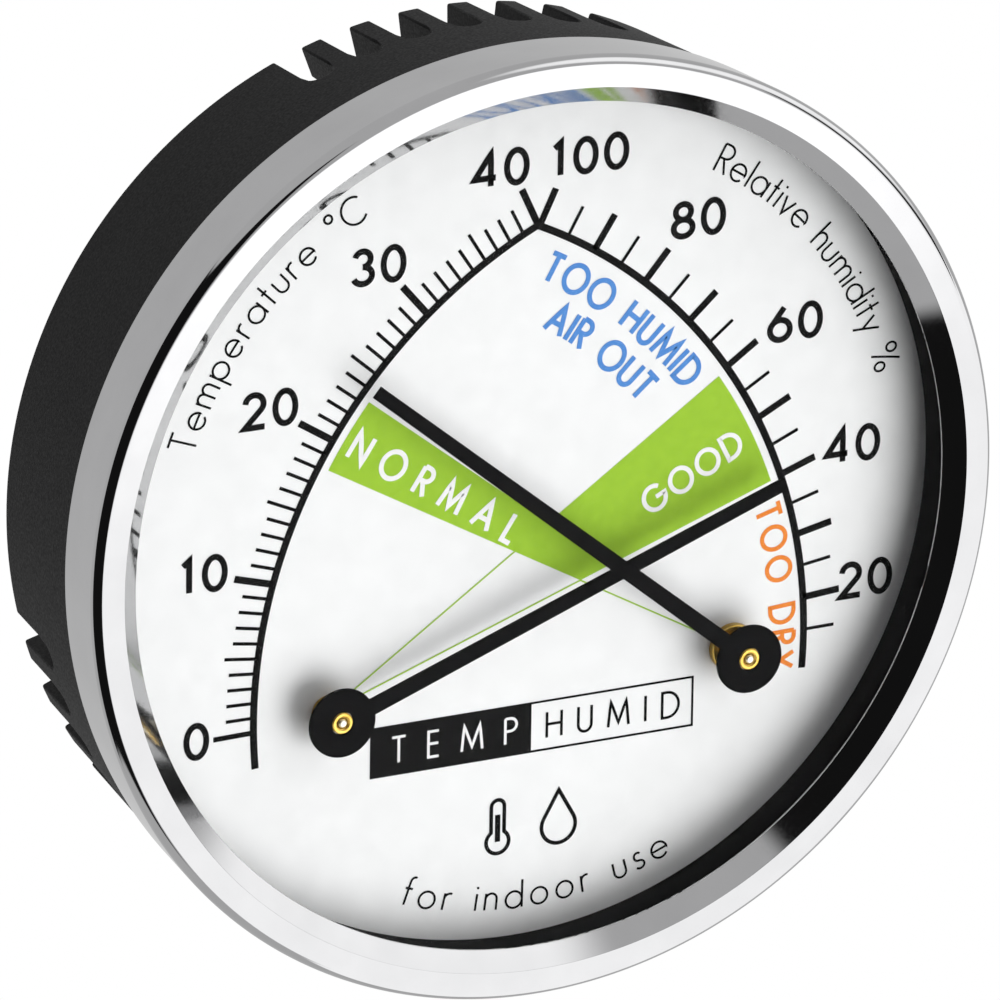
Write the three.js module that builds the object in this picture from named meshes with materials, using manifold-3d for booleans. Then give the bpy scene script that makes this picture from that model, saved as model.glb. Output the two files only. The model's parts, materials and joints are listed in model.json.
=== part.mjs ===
// Round wall thermo-hygrometer with two crossing pointers, in millimetres.
//
// The origin is the centre of the case's rear rim, on the plane where the case meets the wall.
// +Y points into the wall, -Y towards the reader, +X to the reader's right and +Z up.
// Every turned piece has its axis along Y. "Depth" is counted backwards from the ring's front
// crest, and "height" is counted forwards from the dial's face.

import * as THREE from 'three';
import { mergeVertices } from 'three/addons/utils/BufferGeometryUtils.js';
import Module from 'manifold-3d';

const wasm = await Module();
wasm.setup();

// ---------------------------------------------------------------- driving dimensions

// Overall
const ringRadius = 51;
const totalDepth = 28;

// Bezel ring, insets counted inwards from ringRadius
const ringDepth = 8.9;
const ringDraft = 0.6;
const ringWall = 1.75;
const faceInset = 0.75;
const faceDrop = 0.25;
const cornerDepth = 0.85;
const crestInset = 3.2;
const lipInset = 5.2;
const bevelDepth = 1.7;
const lipThickness = 0.25;

// Lens, spacer ring and dial
const lensThickness = 0.9;
const lensInset = 0.25;
const dialDepth = 7.5;
const dialThickness = 0.6;
const spacerWall = 1;

// Case
const spigotWall = 1.4;
const shoulderStep = 0.3;
const caseTaper = 1.6;
const ledgeWidth = 2.25;
const floorThickness = 2;
const skirtDepth = 9.7;
const skirtWall = 3.6;

// Air slots through the skirt, in two rows that stand turned a little against the dial
const slotWidth = 3.2;
const slotPitch = 6.6;
const slotTurn = 0.9;
const slotsAtTop = 7;
const slotsAtBottom = 24;

// Air vents, keyhole and calibration hole in the case floor
const ventCount = 8;
const ventInner = 6;
const ventOuter = 12;
const ventWidth = 2.2;
const keyholeHeight = 26;
const keyholeRadius = 4.5;
const keyholeSlot = 4.6;
const keyholeRun = 7;
const accessRadius = 3.2;

// Pivots: how far each lies in from the spacer ring, its direction, and the dial's offset
const pivotInset = 17.8;
const pivotAngle = 36.8;
const dialOffsetX = 1.4;
const dialOffsetZ = -1.2;

// Pointers
const hubRadius = 3.72;
const pointerThickness = 0.3;
const pointerHubWidth = 1.8;
const pointerTipWidth = 1.42;
const thermometerReach = 9.6;
const hygrometerReach = 7.5;
const thermometerAngle = 140.3;
const hygrometerAngle = 20.2;

// Arbors, collets and bushes
const arborRadius = 0.5;
const colletRadius = 1.2;
const colletStand = 0.1;
const bushRadius = 1.6;
const bushFlangeHeight = 0.95;
const thermometerFlangeLip = 1;
const hygrometerFlangeLip = 0.3;
const nutWall = 0.9;
const nutThickness = 1.2;
const rearBushFlange = 2.2;

// Movement frames and coils
const frameSheet = 0.6;
const frameWidth = 8;
const frameTail = 4.5;
const frameFloorGap = 1.6;
const coilEndGap = 0.45;
const coilThickness = 0.3;
const coilInnerRadius = 1.75;
const coilOuterRadius = 8.2;
const coilTurns = 4.5;
const postRadius = 0.6;
const postWall = 1.1;

// Adjuster
const adjusterShank = 1.5;
const adjusterBoss = 2.5;
const adjusterArmWidth = 3;
const driverSlotWidth = 0.8;
const driverSlotDepth = 1;

// Clearances
const seatGap = 0.05;
const pressGap = 0.03;
const runningGap = 0.05;
const slideGap = 0.1;
const shadowGap = 0.2;
const tipGap = 0.2;
const sweepGap = 0.15;

// Facets
const wideFacets = 72;
const narrowFacets = 20;
const coilFacets = 20;
const cornerFacets = 3;
const arcSteps = 3;
const hubSteps = 12;
const cutOverrun = 1;

// ---------------------------------------------------------------- sizes that follow

const degrees = Math.PI / 180;

// Depths, from the ring's front crest
const lipRear = bevelDepth + lipThickness;
const lensFront = lipRear + seatGap;
const lensRear = lensFront + lensThickness;
const rimFront = lensRear + seatGap;
const dialRear = dialDepth + dialThickness;
const ledgeDepth = dialRear + seatGap;
const shoulderDepth = ringDepth + shadowGap;
const floorRear = totalDepth - skirtDepth;
const floorFront = floorRear - floorThickness;

// Radii
const ringRearRadius = ringRadius - ringDraft;
const ringBore = ringRadius - ringWall;
const lensRadius = ringBore - lensInset;
const spigotRadius = ringBore - slideGap;
const shoulderRadius = ringRearRadius - shoulderStep;
const rearRadius = shoulderRadius - caseTaper;
const caseBore = spigotRadius - spigotWall;
const ledgeBore = caseBore - ledgeWidth;
const spacerRadius = caseBore - slideGap;
const spacerBore = spacerRadius - spacerWall;
const dialRadius = caseBore - slideGap;
const skirtBore = rearRadius - skirtWall;

// Pivots and pointers
const pivotRadius = spacerBore - pivotInset;
const pivotSpread = pivotRadius * Math.cos(pivotAngle * degrees);
const pivotDrop = pivotRadius * Math.sin(pivotAngle * degrees);
const thermometerPivot = { x: dialOffsetX + pivotSpread, z: dialOffsetZ - pivotDrop };
const hygrometerPivot = { x: dialOffsetX - pivotSpread, z: dialOffsetZ - pivotDrop };
const pivotDistance = 2 * pivotSpread;

// Heights, forwards from the dial's face; the hygrometer's pointer sweeps under the thermometer's
const lensHeight = dialDepth - lensRear;
const thermometerTip = lensHeight - tipGap;
const thermometerBlade = thermometerTip - tipGap - pointerThickness;
const hygrometerTip = thermometerBlade - sweepGap;
const hygrometerBlade = hygrometerTip - tipGap - pointerThickness;

// Heights behind the dial, as negative numbers
const frameFront = -dialThickness - seatGap;
const frontLegRear = frameFront - frameSheet;
const nutFront = frontLegRear - seatGap;
const nutRear = nutFront - nutThickness;
const bushRear = nutRear - seatGap;
const rearLegRear = dialDepth - floorFront + frameFloorGap;
const rearLegFront = rearLegRear + frameSheet;
const armFront = rearLegFront + seatGap + frameSheet;
const coilFront = bushRear - coilEndGap;
const coilRear = armFront + coilEndGap;
const postDistance = coilOuterRadius + coilThickness / 2 + seatGap + postRadius;
const webDistance = postDistance + postRadius + postWall;

// ---------------------------------------------------------------- shape helpers

/** Y of a depth behind the ring's front crest. */
const atDepth = (depth) => depth - totalDepth;

/** Y of a height in front of the dial's face. */
const atHeight = (height) => atDepth(dialDepth - height);

/** Turned body about Y; the [radius, y] profile runs towards +Y on its outer side. */
function turned(profile, facets) {
  const points = profile.map(([radius, y]) => new THREE.Vector2(radius, y));
  return new THREE.LatheGeometry(points, facets);
}

/** Turned body whose profile doesn't touch the axis, closed on itself. */
function turnedRing(profile, facets) {
  return turned([...profile, profile[0]], facets);
}

/** Plain tube from yFront to yRear. */
function tube(inner, outer, yFront, yRear, facets) {
  return turnedRing([[outer, yFront], [outer, yRear], [inner, yRear], [inner, yFront]], facets);
}

/** Plate with an X-Z outline, from yFront back to yRear; each arc takes twice curveSegments facets. */
function plate(outline, yFront, yRear, curveSegments = arcSteps) {
  const depth = yRear - yFront;
  const geometry = new THREE.ExtrudeGeometry(outline, { depth, bevelEnabled: false, curveSegments });
  geometry.rotateX(Math.PI / 2);
  geometry.translate(0, yRear, 0);
  return geometry;
}

/** Round outline or hole about (x, z). */
function circle(radius, facets, x = 0, z = 0, Kind = THREE.Shape) {
  const points = [];
  for (let i = 0; i < facets; i += 1) {
    const angle = 2 * Math.PI * i / facets;
    points.push(new THREE.Vector2(x + radius * Math.cos(angle), z + radius * Math.sin(angle)));
  }
  return new Kind(points);
}

/** Outline of a slot with round ends, from the origin's side `start` to `end` along +Z. */
function slotOutline(start, end, width) {
  const half = width / 2;
  const outline = new THREE.Shape();
  outline.moveTo(half, start + half);
  outline.lineTo(half, end - half);
  outline.absarc(0, end - half, half, 0, Math.PI);
  outline.lineTo(-half, start + half);
  outline.absarc(0, start + half, half, Math.PI, 2 * Math.PI);
  return outline;
}

/** Box between two corners. */
function box([x0, y0, z0], [x1, y1, z1]) {
  const geometry = new THREE.BoxGeometry(x1 - x0, y1 - y0, z1 - z0);
  geometry.translate((x0 + x1) / 2, (y0 + y1) / 2, (z0 + z1) / 2);
  return geometry;
}

/** Manifold solid of a closed geometry. */
function solid(geometry) {
  const bare = geometry.clone();
  bare.deleteAttribute('normal');
  bare.deleteAttribute('uv');
  const merged = mergeVertices(bare);
  const index = merged.index.array;
  const triangles = [];
  for (let i = 0; i < index.length; i += 3) {
    const [a, b, c] = [index[i], index[i + 1], index[i + 2]];
    if (a !== b && b !== c && c !== a) triangles.push(a, b, c);
  }
  return new wasm.Manifold(new wasm.Mesh({
    numProp: 3,
    vertProperties: Float32Array.from(merged.attributes.position.array),
    triVerts: Uint32Array.from(triangles),
  }));
}

/** Geometry of a manifold solid. */
function geometryOf(body) {
  const mesh = body.getMesh();
  const geometry = new THREE.BufferGeometry();
  geometry.setAttribute('position', new THREE.BufferAttribute(mesh.vertProperties, 3));
  geometry.setIndex(new THREE.BufferAttribute(mesh.triVerts, 1));
  geometry.computeVertexNormals();
  return geometry;
}

// ---------------------------------------------------------------- housing

/** Chromed ring: side with a little draft, round corner, front face, inner bevel and lip. */
function bezelRing() {
  const faceRadius = ringRadius - faceInset;
  const profile = [
    [ringBore, atDepth(ringDepth)],
    [ringBore, atDepth(lipRear)],
    [ringRadius - lipInset, atDepth(lipRear)],
    [ringRadius - lipInset, atDepth(bevelDepth)],
    [ringRadius - crestInset, atDepth(0)],
  ];
  for (let i = 0; i <= cornerFacets; i += 1) {
    const angle = i / cornerFacets * Math.PI / 2;
    const radius = faceRadius + faceInset * Math.sin(angle);
    const depth = cornerDepth - (cornerDepth - faceDrop) * Math.cos(angle);
    profile.push([radius, atDepth(depth)]);
  }
  profile.push([ringRearRadius, atDepth(ringDepth)]);
  return turnedRing(profile, wideFacets);
}

/** Cutter for one air slot through the skirt, at an angle from +X towards +Z. */
function slotCutter(angle) {
  const half = slotWidth / 2;
  const outline = new THREE.Shape();
  outline.moveTo(-half, cutOverrun);
  outline.lineTo(-half, half - skirtDepth + seatGap);
  outline.absarc(0, half - skirtDepth + seatGap, half, Math.PI, 2 * Math.PI);
  outline.lineTo(half, cutOverrun);
  const depth = shoulderRadius + cutOverrun - (skirtBore - cutOverrun);
  const options = { depth, bevelEnabled: false, curveSegments: arcSteps };
  const geometry = new THREE.ExtrudeGeometry(outline, options);
  geometry.translate(0, 0, skirtBore - cutOverrun);
  geometry.rotateY((90 - angle) * degrees);
  return geometry;
}

/** Angles of a row of slots that is centred on one direction. */
function slotAngles(middle, count) {
  const first = middle - slotPitch * (count - 1) / 2;
  return Array.from({ length: count }, (_, i) => first + slotPitch * i);
}

/** Cutter for one of the radial vents round a pivot. */
function ventCutter(pivot, turn) {
  const outline = slotOutline(ventInner, ventOuter, ventWidth);
  const geometry = plate(outline, atDepth(floorFront) - cutOverrun, atDepth(floorRear) + cutOverrun);
  geometry.rotateY(turn);
  geometry.translate(pivot.x, 0, pivot.z);
  return geometry;
}

/** Black case: front spigot, dial ledge, floor with its openings, and slotted rear skirt. */
function rearCase() {
  const floorCut = [atDepth(floorFront) - cutOverrun, atDepth(floorRear) + cutOverrun];
  let body = solid(turned([
    [0, atDepth(floorFront)],
    [ledgeBore, atDepth(floorFront)],
    [ledgeBore, atDepth(ledgeDepth)],
    [caseBore, atDepth(ledgeDepth)],
    [caseBore, atDepth(rimFront)],
    [spigotRadius, atDepth(rimFront)],
    [spigotRadius, atDepth(shoulderDepth)],
    [shoulderRadius, atDepth(shoulderDepth)],
    [rearRadius, atDepth(totalDepth)],
    [skirtBore, atDepth(totalDepth)],
    [skirtBore, atDepth(floorRear)],
    [0, atDepth(floorRear)],
  ], wideFacets));
  for (const angle of [...slotAngles(90, slotsAtTop), ...slotAngles(270, slotsAtBottom)]) {
    body = body.subtract(solid(slotCutter(angle + slotTurn)));
  }
  for (const pivot of [thermometerPivot, hygrometerPivot]) {
    for (let i = 0; i < ventCount; i += 1) {
      body = body.subtract(solid(ventCutter(pivot, 2 * Math.PI * (i + 0.5) / ventCount)));
    }
  }
  body = body.subtract(solid(plate(circle(keyholeRadius, narrowFacets, 0, keyholeHeight), ...floorCut)));
  const run = slotOutline(keyholeHeight, keyholeHeight + keyholeRun + keyholeSlot / 2, keyholeSlot);
  body = body.subtract(solid(plate(run, ...floorCut)));
  const access = circle(accessRadius, narrowFacets, hygrometerPivot.x, hygrometerPivot.z);
  body = body.subtract(solid(plate(access, ...floorCut)));
  return geometryOf(body);
}

/** Flat clear disc held between the ring's lip and the case rim. */
function lens() {
  return plate(circle(lensRadius, wideFacets), atDepth(lensFront), atDepth(lensRear));
}

/** Black distance ring between the lens and the dial. */
function spacerRing() {
  return tube(spacerBore, spacerRadius, atDepth(rimFront), atDepth(dialDepth - seatGap), wideFacets);
}

/** Printed dial sheet with one hole for each front bush. */
function dialPlate() {
  const outline = circle(dialRadius, wideFacets);
  for (const pivot of [thermometerPivot, hygrometerPivot]) {
    outline.holes.push(circle(bushRadius + slideGap, narrowFacets, pivot.x, pivot.z, THREE.Path));
  }
  return plate(outline, atDepth(dialDepth), atDepth(dialRear));
}

// ---------------------------------------------------------------- pointers and arbors

/** Flat pointer: round hub with a hole for its collet, and a blade with a square-cut tip. */
function pointer(length, angle, bladeHeight) {
  const halfHub = pointerHubWidth / 2;
  const halfTip = pointerTipWidth / 2;
  const root = Math.asin(halfHub / hubRadius);
  const outline = new THREE.Shape();
  outline.moveTo(length, -halfTip);
  outline.lineTo(length, halfTip);
  outline.lineTo(hubRadius * Math.cos(root), halfHub);
  outline.absarc(0, 0, hubRadius, root, 2 * Math.PI - root);
  outline.holes.push(circle(colletRadius + pressGap, narrowFacets, 0, 0, THREE.Path));
  const bladeFront = atHeight(bladeHeight + pointerThickness);
  const geometry = plate(outline, bladeFront, atHeight(bladeHeight), hubSteps);
  geometry.rotateY(-angle * degrees);
  return geometry;
}

/** Brass collet that carries a pointer on its arbor. */
function pointerCollet(bladeHeight) {
  const front = atHeight(bladeHeight + pointerThickness + colletStand);
  const rear = atHeight(bladeHeight - tipGap + seatGap);
  return tube(arborRadius + pressGap, colletRadius, front, rear, narrowFacets);
}

/** Thin shaft from in front of its pointer back into its rear bearing. */
function arbor(tipHeight, rearHeight) {
  return turned([
    [0, atHeight(tipHeight)],
    [arborRadius, atHeight(tipHeight)],
    [arborRadius, atHeight(rearHeight)],
    [0, atHeight(rearHeight)],
  ], narrowFacets);
}

/** Flanged brass bush through the dial and the frame's front leg. */
function frontBush(flangeRadius) {
  const bore = arborRadius + runningGap;
  return turnedRing([
    [flangeRadius, atHeight(bushFlangeHeight)],
    [flangeRadius, atHeight(seatGap)],
    [bushRadius, atHeight(seatGap)],
    [bushRadius, atHeight(bushRear)],
    [bore, atHeight(bushRear)],
    [bore, atHeight(bushFlangeHeight)],
  ], narrowFacets);
}

/** Hexagon nut that clamps the frame to the dial. */
function bushNut() {
  const outline = circle((bushRadius + nutWall) / Math.cos(30 * degrees), 6);
  outline.holes.push(circle(bushRadius + pressGap, narrowFacets, 0, 0, THREE.Path));
  return plate(outline, atHeight(nutFront), atHeight(nutRear));
}

// ---------------------------------------------------------------- frames and coils

/** U-shaped sheet frame: front leg on the dial, web above the coil, rear leg with a bearing hole. */
function movementFrame(bearingRadius, tail) {
  const half = frameWidth / 2;
  const frontLeg = box([-half, atHeight(frameFront), -frameTail],
    [half, atHeight(frontLegRear), webDistance + frameSheet]);
  const rearLeg = box([-half, atHeight(rearLegFront), -tail],
    [half, atHeight(rearLegRear), webDistance + frameSheet]);
  const web = box([-half, atHeight(frameFront), webDistance],
    [half, atHeight(rearLegRear), webDistance + frameSheet]);
  const frontHole = plate(circle(bushRadius + slideGap, narrowFacets),
    atHeight(frameFront) - cutOverrun, atHeight(frontLegRear) + cutOverrun);
  const rearHole = plate(circle(bearingRadius, narrowFacets),
    atHeight(rearLegFront) - cutOverrun, atHeight(rearLegRear) + cutOverrun);
  const body = solid(frontLeg).add(solid(web)).add(solid(rearLeg));
  return geometryOf(body.subtract(solid(frontHole)).subtract(solid(rearHole)));
}

/** Flat strip wound into an open spiral, from its collet out to its post straight below the pivot. */
function coil() {
  const steps = Math.round(coilTurns * coilFacets);
  const edge = (offset) => Array.from({ length: steps + 1 }, (_, i) => {
    const share = i / steps;
    const radius = coilInnerRadius + (coilOuterRadius - coilInnerRadius) * share + offset;
    const angle = -Math.PI / 2 - 2 * Math.PI * coilTurns * (1 - share);
    return new THREE.Vector2(radius * Math.cos(angle), radius * Math.sin(angle));
  });
  const outline = new THREE.Shape([...edge(coilThickness / 2), ...edge(-coilThickness / 2).reverse()]);
  return plate(outline, atHeight(coilFront), atHeight(coilRear));
}

/** Collet that holds the coil's inner end on its arbor. */
function coilCollet() {
  const outer = coilInnerRadius - coilThickness / 2 - slideGap;
  return tube(arborRadius + pressGap, outer, atHeight(coilFront), atHeight(coilRear), narrowFacets);
}

/** Fixed post on the rear leg that holds the coil's outer end. */
function coilPost() {
  const geometry = turned([
    [0, atHeight(coilFront)],
    [postRadius, atHeight(coilFront)],
    [postRadius, atHeight(rearLegFront + seatGap)],
    [0, atHeight(rearLegFront + seatGap)],
  ], narrowFacets);
  geometry.translate(0, 0, -postDistance);
  return geometry;
}

/** Brass bearing in the rear leg, with its flange in front of the leg and a blind bore. */
function rearBush() {
  const bore = arborRadius + runningGap;
  const flangeFront = rearLegFront + seatGap + frameSheet;
  const endCap = rearLegRear - frameSheet;
  return turned([
    [0, atHeight(rearLegRear)],
    [bore, atHeight(rearLegRear)],
    [bore, atHeight(flangeFront)],
    [rearBushFlange, atHeight(flangeFront)],
    [rearBushFlange, atHeight(rearLegFront + seatGap)],
    [adjusterShank, atHeight(rearLegFront + seatGap)],
    [adjusterShank, atHeight(endCap)],
    [0, atHeight(endCap)],
  ], narrowFacets);
}

/** Adjuster: arm and post for the coil, shank in the rear leg, and a slotted boss in the floor hole. */
function adjuster() {
  const bore = arborRadius + runningGap;
  const armRear = rearLegFront + seatGap;
  const bossFront = rearLegRear - seatGap;
  const bossRear = dialDepth - floorRear + seatGap + shadowGap;
  const hub = solid(turned([
    [0, atHeight(rearLegRear)],
    [bore, atHeight(rearLegRear)],
    [bore, atHeight(armFront)],
    [adjusterBoss, atHeight(armFront)],
    [adjusterBoss, atHeight(armRear)],
    [adjusterShank, atHeight(armRear)],
    [adjusterShank, atHeight(bossFront)],
    [adjusterBoss, atHeight(bossFront)],
    [adjusterBoss, atHeight(bossRear)],
    [0, atHeight(bossRear)],
  ], narrowFacets));
  const half = adjusterArmWidth / 2;
  const armEnd = -postDistance - postRadius;
  const armStart = -(arborRadius + adjusterShank) / 2;
  const arm = box([-half, atHeight(armFront), armEnd], [half, atHeight(armRear), armStart]);
  const post = turned([
    [0, atHeight(coilFront)],
    [postRadius, atHeight(coilFront)],
    [postRadius, atHeight((armFront + armRear) / 2)],
    [0, atHeight((armFront + armRear) / 2)],
  ], narrowFacets);
  post.translate(0, 0, -postDistance);
  const slotHalf = driverSlotWidth / 2;
  const driverSlot = box(
    [-adjusterBoss - cutOverrun, atHeight(bossRear + driverSlotDepth), -slotHalf],
    [adjusterBoss + cutOverrun, atHeight(bossRear) + cutOverrun, slotHalf]);
  return geometryOf(hub.add(solid(arm)).add(solid(post)).subtract(solid(driverSlot)));
}

// ---------------------------------------------------------------- finishes

/** Opaque finish of one colour. */
function finish(color, roughness, metalness) {
  return new THREE.MeshStandardMaterial({ color, roughness, metalness });
}

/** Clear finish that lets most light through. */
function clearFinish(color, roughness, opacity) {
  return new THREE.MeshStandardMaterial({ color, roughness, opacity, transparent: true });
}

const finishes = {
  chrome: finish(0xd8dadb, 0.08, 1),
  blackPlastic: finish(0x242424, 0.6, 0),
  glass: clearFinish(0xffffff, 0.03, 0.2),
  dialWhite: finish(0xf4f5f5, 0.5, 0),
  pointerBlack: finish(0x17171a, 0.55, 0),
  brass: finish(0xd2b564, 0.3, 1),
  steel: finish(0xb4b6b8, 0.35, 1),
  bimetal: finish(0xb8a184, 0.4, 1),
  humidityStrip: finish(0xc9b58a, 0.6, 0.3),
};

// ---------------------------------------------------------------- assembly

const hygrometer = new THREE.Group();

/** Adds one named piece, on the dial's axis or on a pivot. */
function addPiece(name, geometry, material, pivot = { x: 0, z: 0 }) {
  const mesh = new THREE.Mesh(geometry, material);
  mesh.name = name;
  mesh.position.set(pivot.x, 0, pivot.z);
  hygrometer.add(mesh);
}

addPiece('rear_case', rearCase(), finishes.blackPlastic);
addPiece('bezel_ring', bezelRing(), finishes.chrome);
addPiece('lens', lens(), finishes.glass);
addPiece('spacer_ring', spacerRing(), finishes.blackPlastic);
addPiece('dial_plate', dialPlate(), finishes.dialWhite);

const movements = [
  {
    name: 'thermometer',
    pivot: thermometerPivot,
    reach: thermometerReach,
    angle: thermometerAngle,
    blade: thermometerBlade,
    tip: thermometerTip,
    flange: bushRadius + thermometerFlangeLip,
    strip: finishes.bimetal,
  },
  {
    name: 'hygrometer',
    pivot: hygrometerPivot,
    reach: hygrometerReach,
    angle: hygrometerAngle,
    blade: hygrometerBlade,
    tip: hygrometerTip,
    flange: bushRadius + hygrometerFlangeLip,
    strip: finishes.humidityStrip,
  },
];
for (const { name, pivot, reach, angle, blade, tip, flange, strip } of movements) {
  const length = pivotDistance + reach;
  addPiece(`${name}_pointer`, pointer(length, angle, blade), finishes.pointerBlack, pivot);
  addPiece(`${name}_pointer_collet`, pointerCollet(blade), finishes.brass, pivot);
  addPiece(`${name}_arbor`, arbor(tip, rearLegRear + seatGap), finishes.steel, pivot);
  addPiece(`${name}_front_bush`, frontBush(flange), finishes.brass, pivot);
  addPiece(`${name}_bush_nut`, bushNut(), finishes.brass, pivot);
  addPiece(`${name}_coil`, coil(), strip, pivot);
  addPiece(`${name}_coil_collet`, coilCollet(), finishes.brass, pivot);
}

const thermometerTail = postDistance + postRadius + frameSheet;
addPiece('thermometer_frame', movementFrame(adjusterShank + pressGap, thermometerTail), finishes.steel,
  thermometerPivot);
addPiece('thermometer_rear_bush', rearBush(), finishes.brass, thermometerPivot);
addPiece('thermometer_coil_post', coilPost(), finishes.brass, thermometerPivot);
addPiece('hygrometer_frame', movementFrame(adjusterShank + runningGap, frameTail), finishes.steel,
  hygrometerPivot);
addPiece('hygrometer_adjuster', adjuster(), finishes.brass, hygrometerPivot);

export default hygrometer;
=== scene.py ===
"""Looks of a round wall thermo-hygrometer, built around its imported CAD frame.

The frame is in metres: the origin is the centre of the case's rear rim, +Y points into the wall,
-Y to the reader, +X to the reader's right and +Z up. Sizes in this file are millimetres unless
they say otherwise, and turn into metres when a mesh is made. Radii are measured from a piece's own
axis, which runs along Y. Places come from the boxes of the CAD nodes.
"""

import json
import logging
import math
from dataclasses import dataclass, field, replace
from enum import Enum
from typing import Callable, Sequence

import bmesh
import bpy
import numpy as np
from mathutils import Matrix, Vector

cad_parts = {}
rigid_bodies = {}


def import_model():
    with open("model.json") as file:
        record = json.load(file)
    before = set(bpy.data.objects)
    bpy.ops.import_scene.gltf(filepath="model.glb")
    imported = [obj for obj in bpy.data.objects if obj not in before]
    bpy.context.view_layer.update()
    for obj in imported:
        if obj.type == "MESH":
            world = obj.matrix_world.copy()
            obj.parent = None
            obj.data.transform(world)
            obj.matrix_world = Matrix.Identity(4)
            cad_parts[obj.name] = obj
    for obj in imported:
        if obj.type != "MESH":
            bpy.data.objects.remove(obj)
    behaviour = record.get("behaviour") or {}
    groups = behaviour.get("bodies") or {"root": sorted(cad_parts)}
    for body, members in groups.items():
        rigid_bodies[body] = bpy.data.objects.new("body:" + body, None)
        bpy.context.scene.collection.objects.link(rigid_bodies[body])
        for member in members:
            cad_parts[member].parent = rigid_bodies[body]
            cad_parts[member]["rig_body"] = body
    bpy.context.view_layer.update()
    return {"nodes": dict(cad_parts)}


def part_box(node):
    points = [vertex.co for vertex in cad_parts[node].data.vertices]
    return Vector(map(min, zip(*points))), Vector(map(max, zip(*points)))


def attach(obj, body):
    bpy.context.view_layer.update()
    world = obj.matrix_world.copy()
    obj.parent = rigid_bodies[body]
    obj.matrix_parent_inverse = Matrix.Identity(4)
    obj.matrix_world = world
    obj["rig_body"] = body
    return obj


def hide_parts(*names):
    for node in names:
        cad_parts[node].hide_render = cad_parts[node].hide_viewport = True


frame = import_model()

LOG = logging.getLogger("thermo_hygrometer")
MM = 0.001
ROUND_STEPS = 288
SMALL_ROUND_STEPS = 72
CORNER_STEPS = 6
SHARP_ANGLE = math.radians(35)
WELD = 0.001
NOISE_DETAIL = 3.0
NOISE_LOW, NOISE_HIGH = 0.3, 0.7


# ------------------------------------------------------------------------------ small helpers


def linear(hex_colour: str) -> tuple[float, float, float, float]:
    """Turn an sRGB hex colour into linear RGBA.

    Args:
        hex_colour: Six hex digits after a hash sign.

    Returns:
        Linear red, green and blue, and an alpha of one.
    """
    channels = np.array([int(hex_colour[i:i + 2], 16) for i in (1, 3, 5)]) / 255
    bent = np.where(channels <= 0.04045, channels / 12.92, ((channels + 0.055) / 1.055) ** 2.4)
    return (*bent.tolist(), 1.0)


def per_mm(feature: float) -> float:
    """Return the texture scale, in metres, whose noise features are this many millimetres wide."""
    return 1 / (feature * MM)


def ring_scale(pitch: float) -> float:
    """Return the Wave texture scale, in metres, whose rings are this many millimetres apart."""
    return 2 * math.pi / (20 * pitch * MM)


def add_node(
    tree: bpy.types.NodeTree,
    kind: str,
    inputs: dict[str | int, object] | None = None,
    **settings: object,
) -> bpy.types.Node:
    """Add a node with its settings, and fill or link its inputs.

    Args:
        tree: Node tree that takes the node.
        kind: Blender's name for the node type.
        inputs: For each input, the output socket to link or the value to set.
        settings: Attributes of the node itself.

    Returns:
        The new node.
    """
    node = tree.nodes.new(kind)
    for name, value in settings.items():
        setattr(node, name, value)
    for name, value in (inputs or {}).items():
        if isinstance(value, bpy.types.NodeSocket):
            tree.links.new(value, node.inputs[name])
        else:
            node.inputs[name].default_value = value
    return node


def add_object(name: str, data: bpy.types.ID) -> bpy.types.Object:
    """Make an object from its data, at the origin, and link it to the scene."""
    made = bpy.data.objects.new(name, data)
    bpy.context.scene.collection.objects.link(made)
    return made


@dataclass(frozen=True)
class Span:
    """Size and place of one CAD node, in millimetres."""

    x: float
    z: float
    radius: float
    front: float
    rear: float

    @classmethod
    def of(cls, node: str) -> "Span":
        """Read a node's box; its radius is half its width."""
        low, high = (np.array(corner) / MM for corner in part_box(node))
        middle = (low + high) / 2
        return cls(middle[0], middle[2], (high[0] - low[0]) / 2, low[1], high[1])


def body_of(node: str) -> str:
    """Return the body that a CAD node rides on."""
    return frame["nodes"][node]["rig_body"]


# ------------------------------------------------------------------------------ shapes


@dataclass(frozen=True)
class Profile:
    """Outline of a turned piece as (radius, y) points, with the outward direction at each."""

    points: np.ndarray
    normals: np.ndarray
    closed: bool


def unit(vectors: np.ndarray) -> np.ndarray:
    """Scale the last axis of an array to unit length."""
    return vectors / np.linalg.norm(vectors, axis=-1, keepdims=True)


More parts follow.
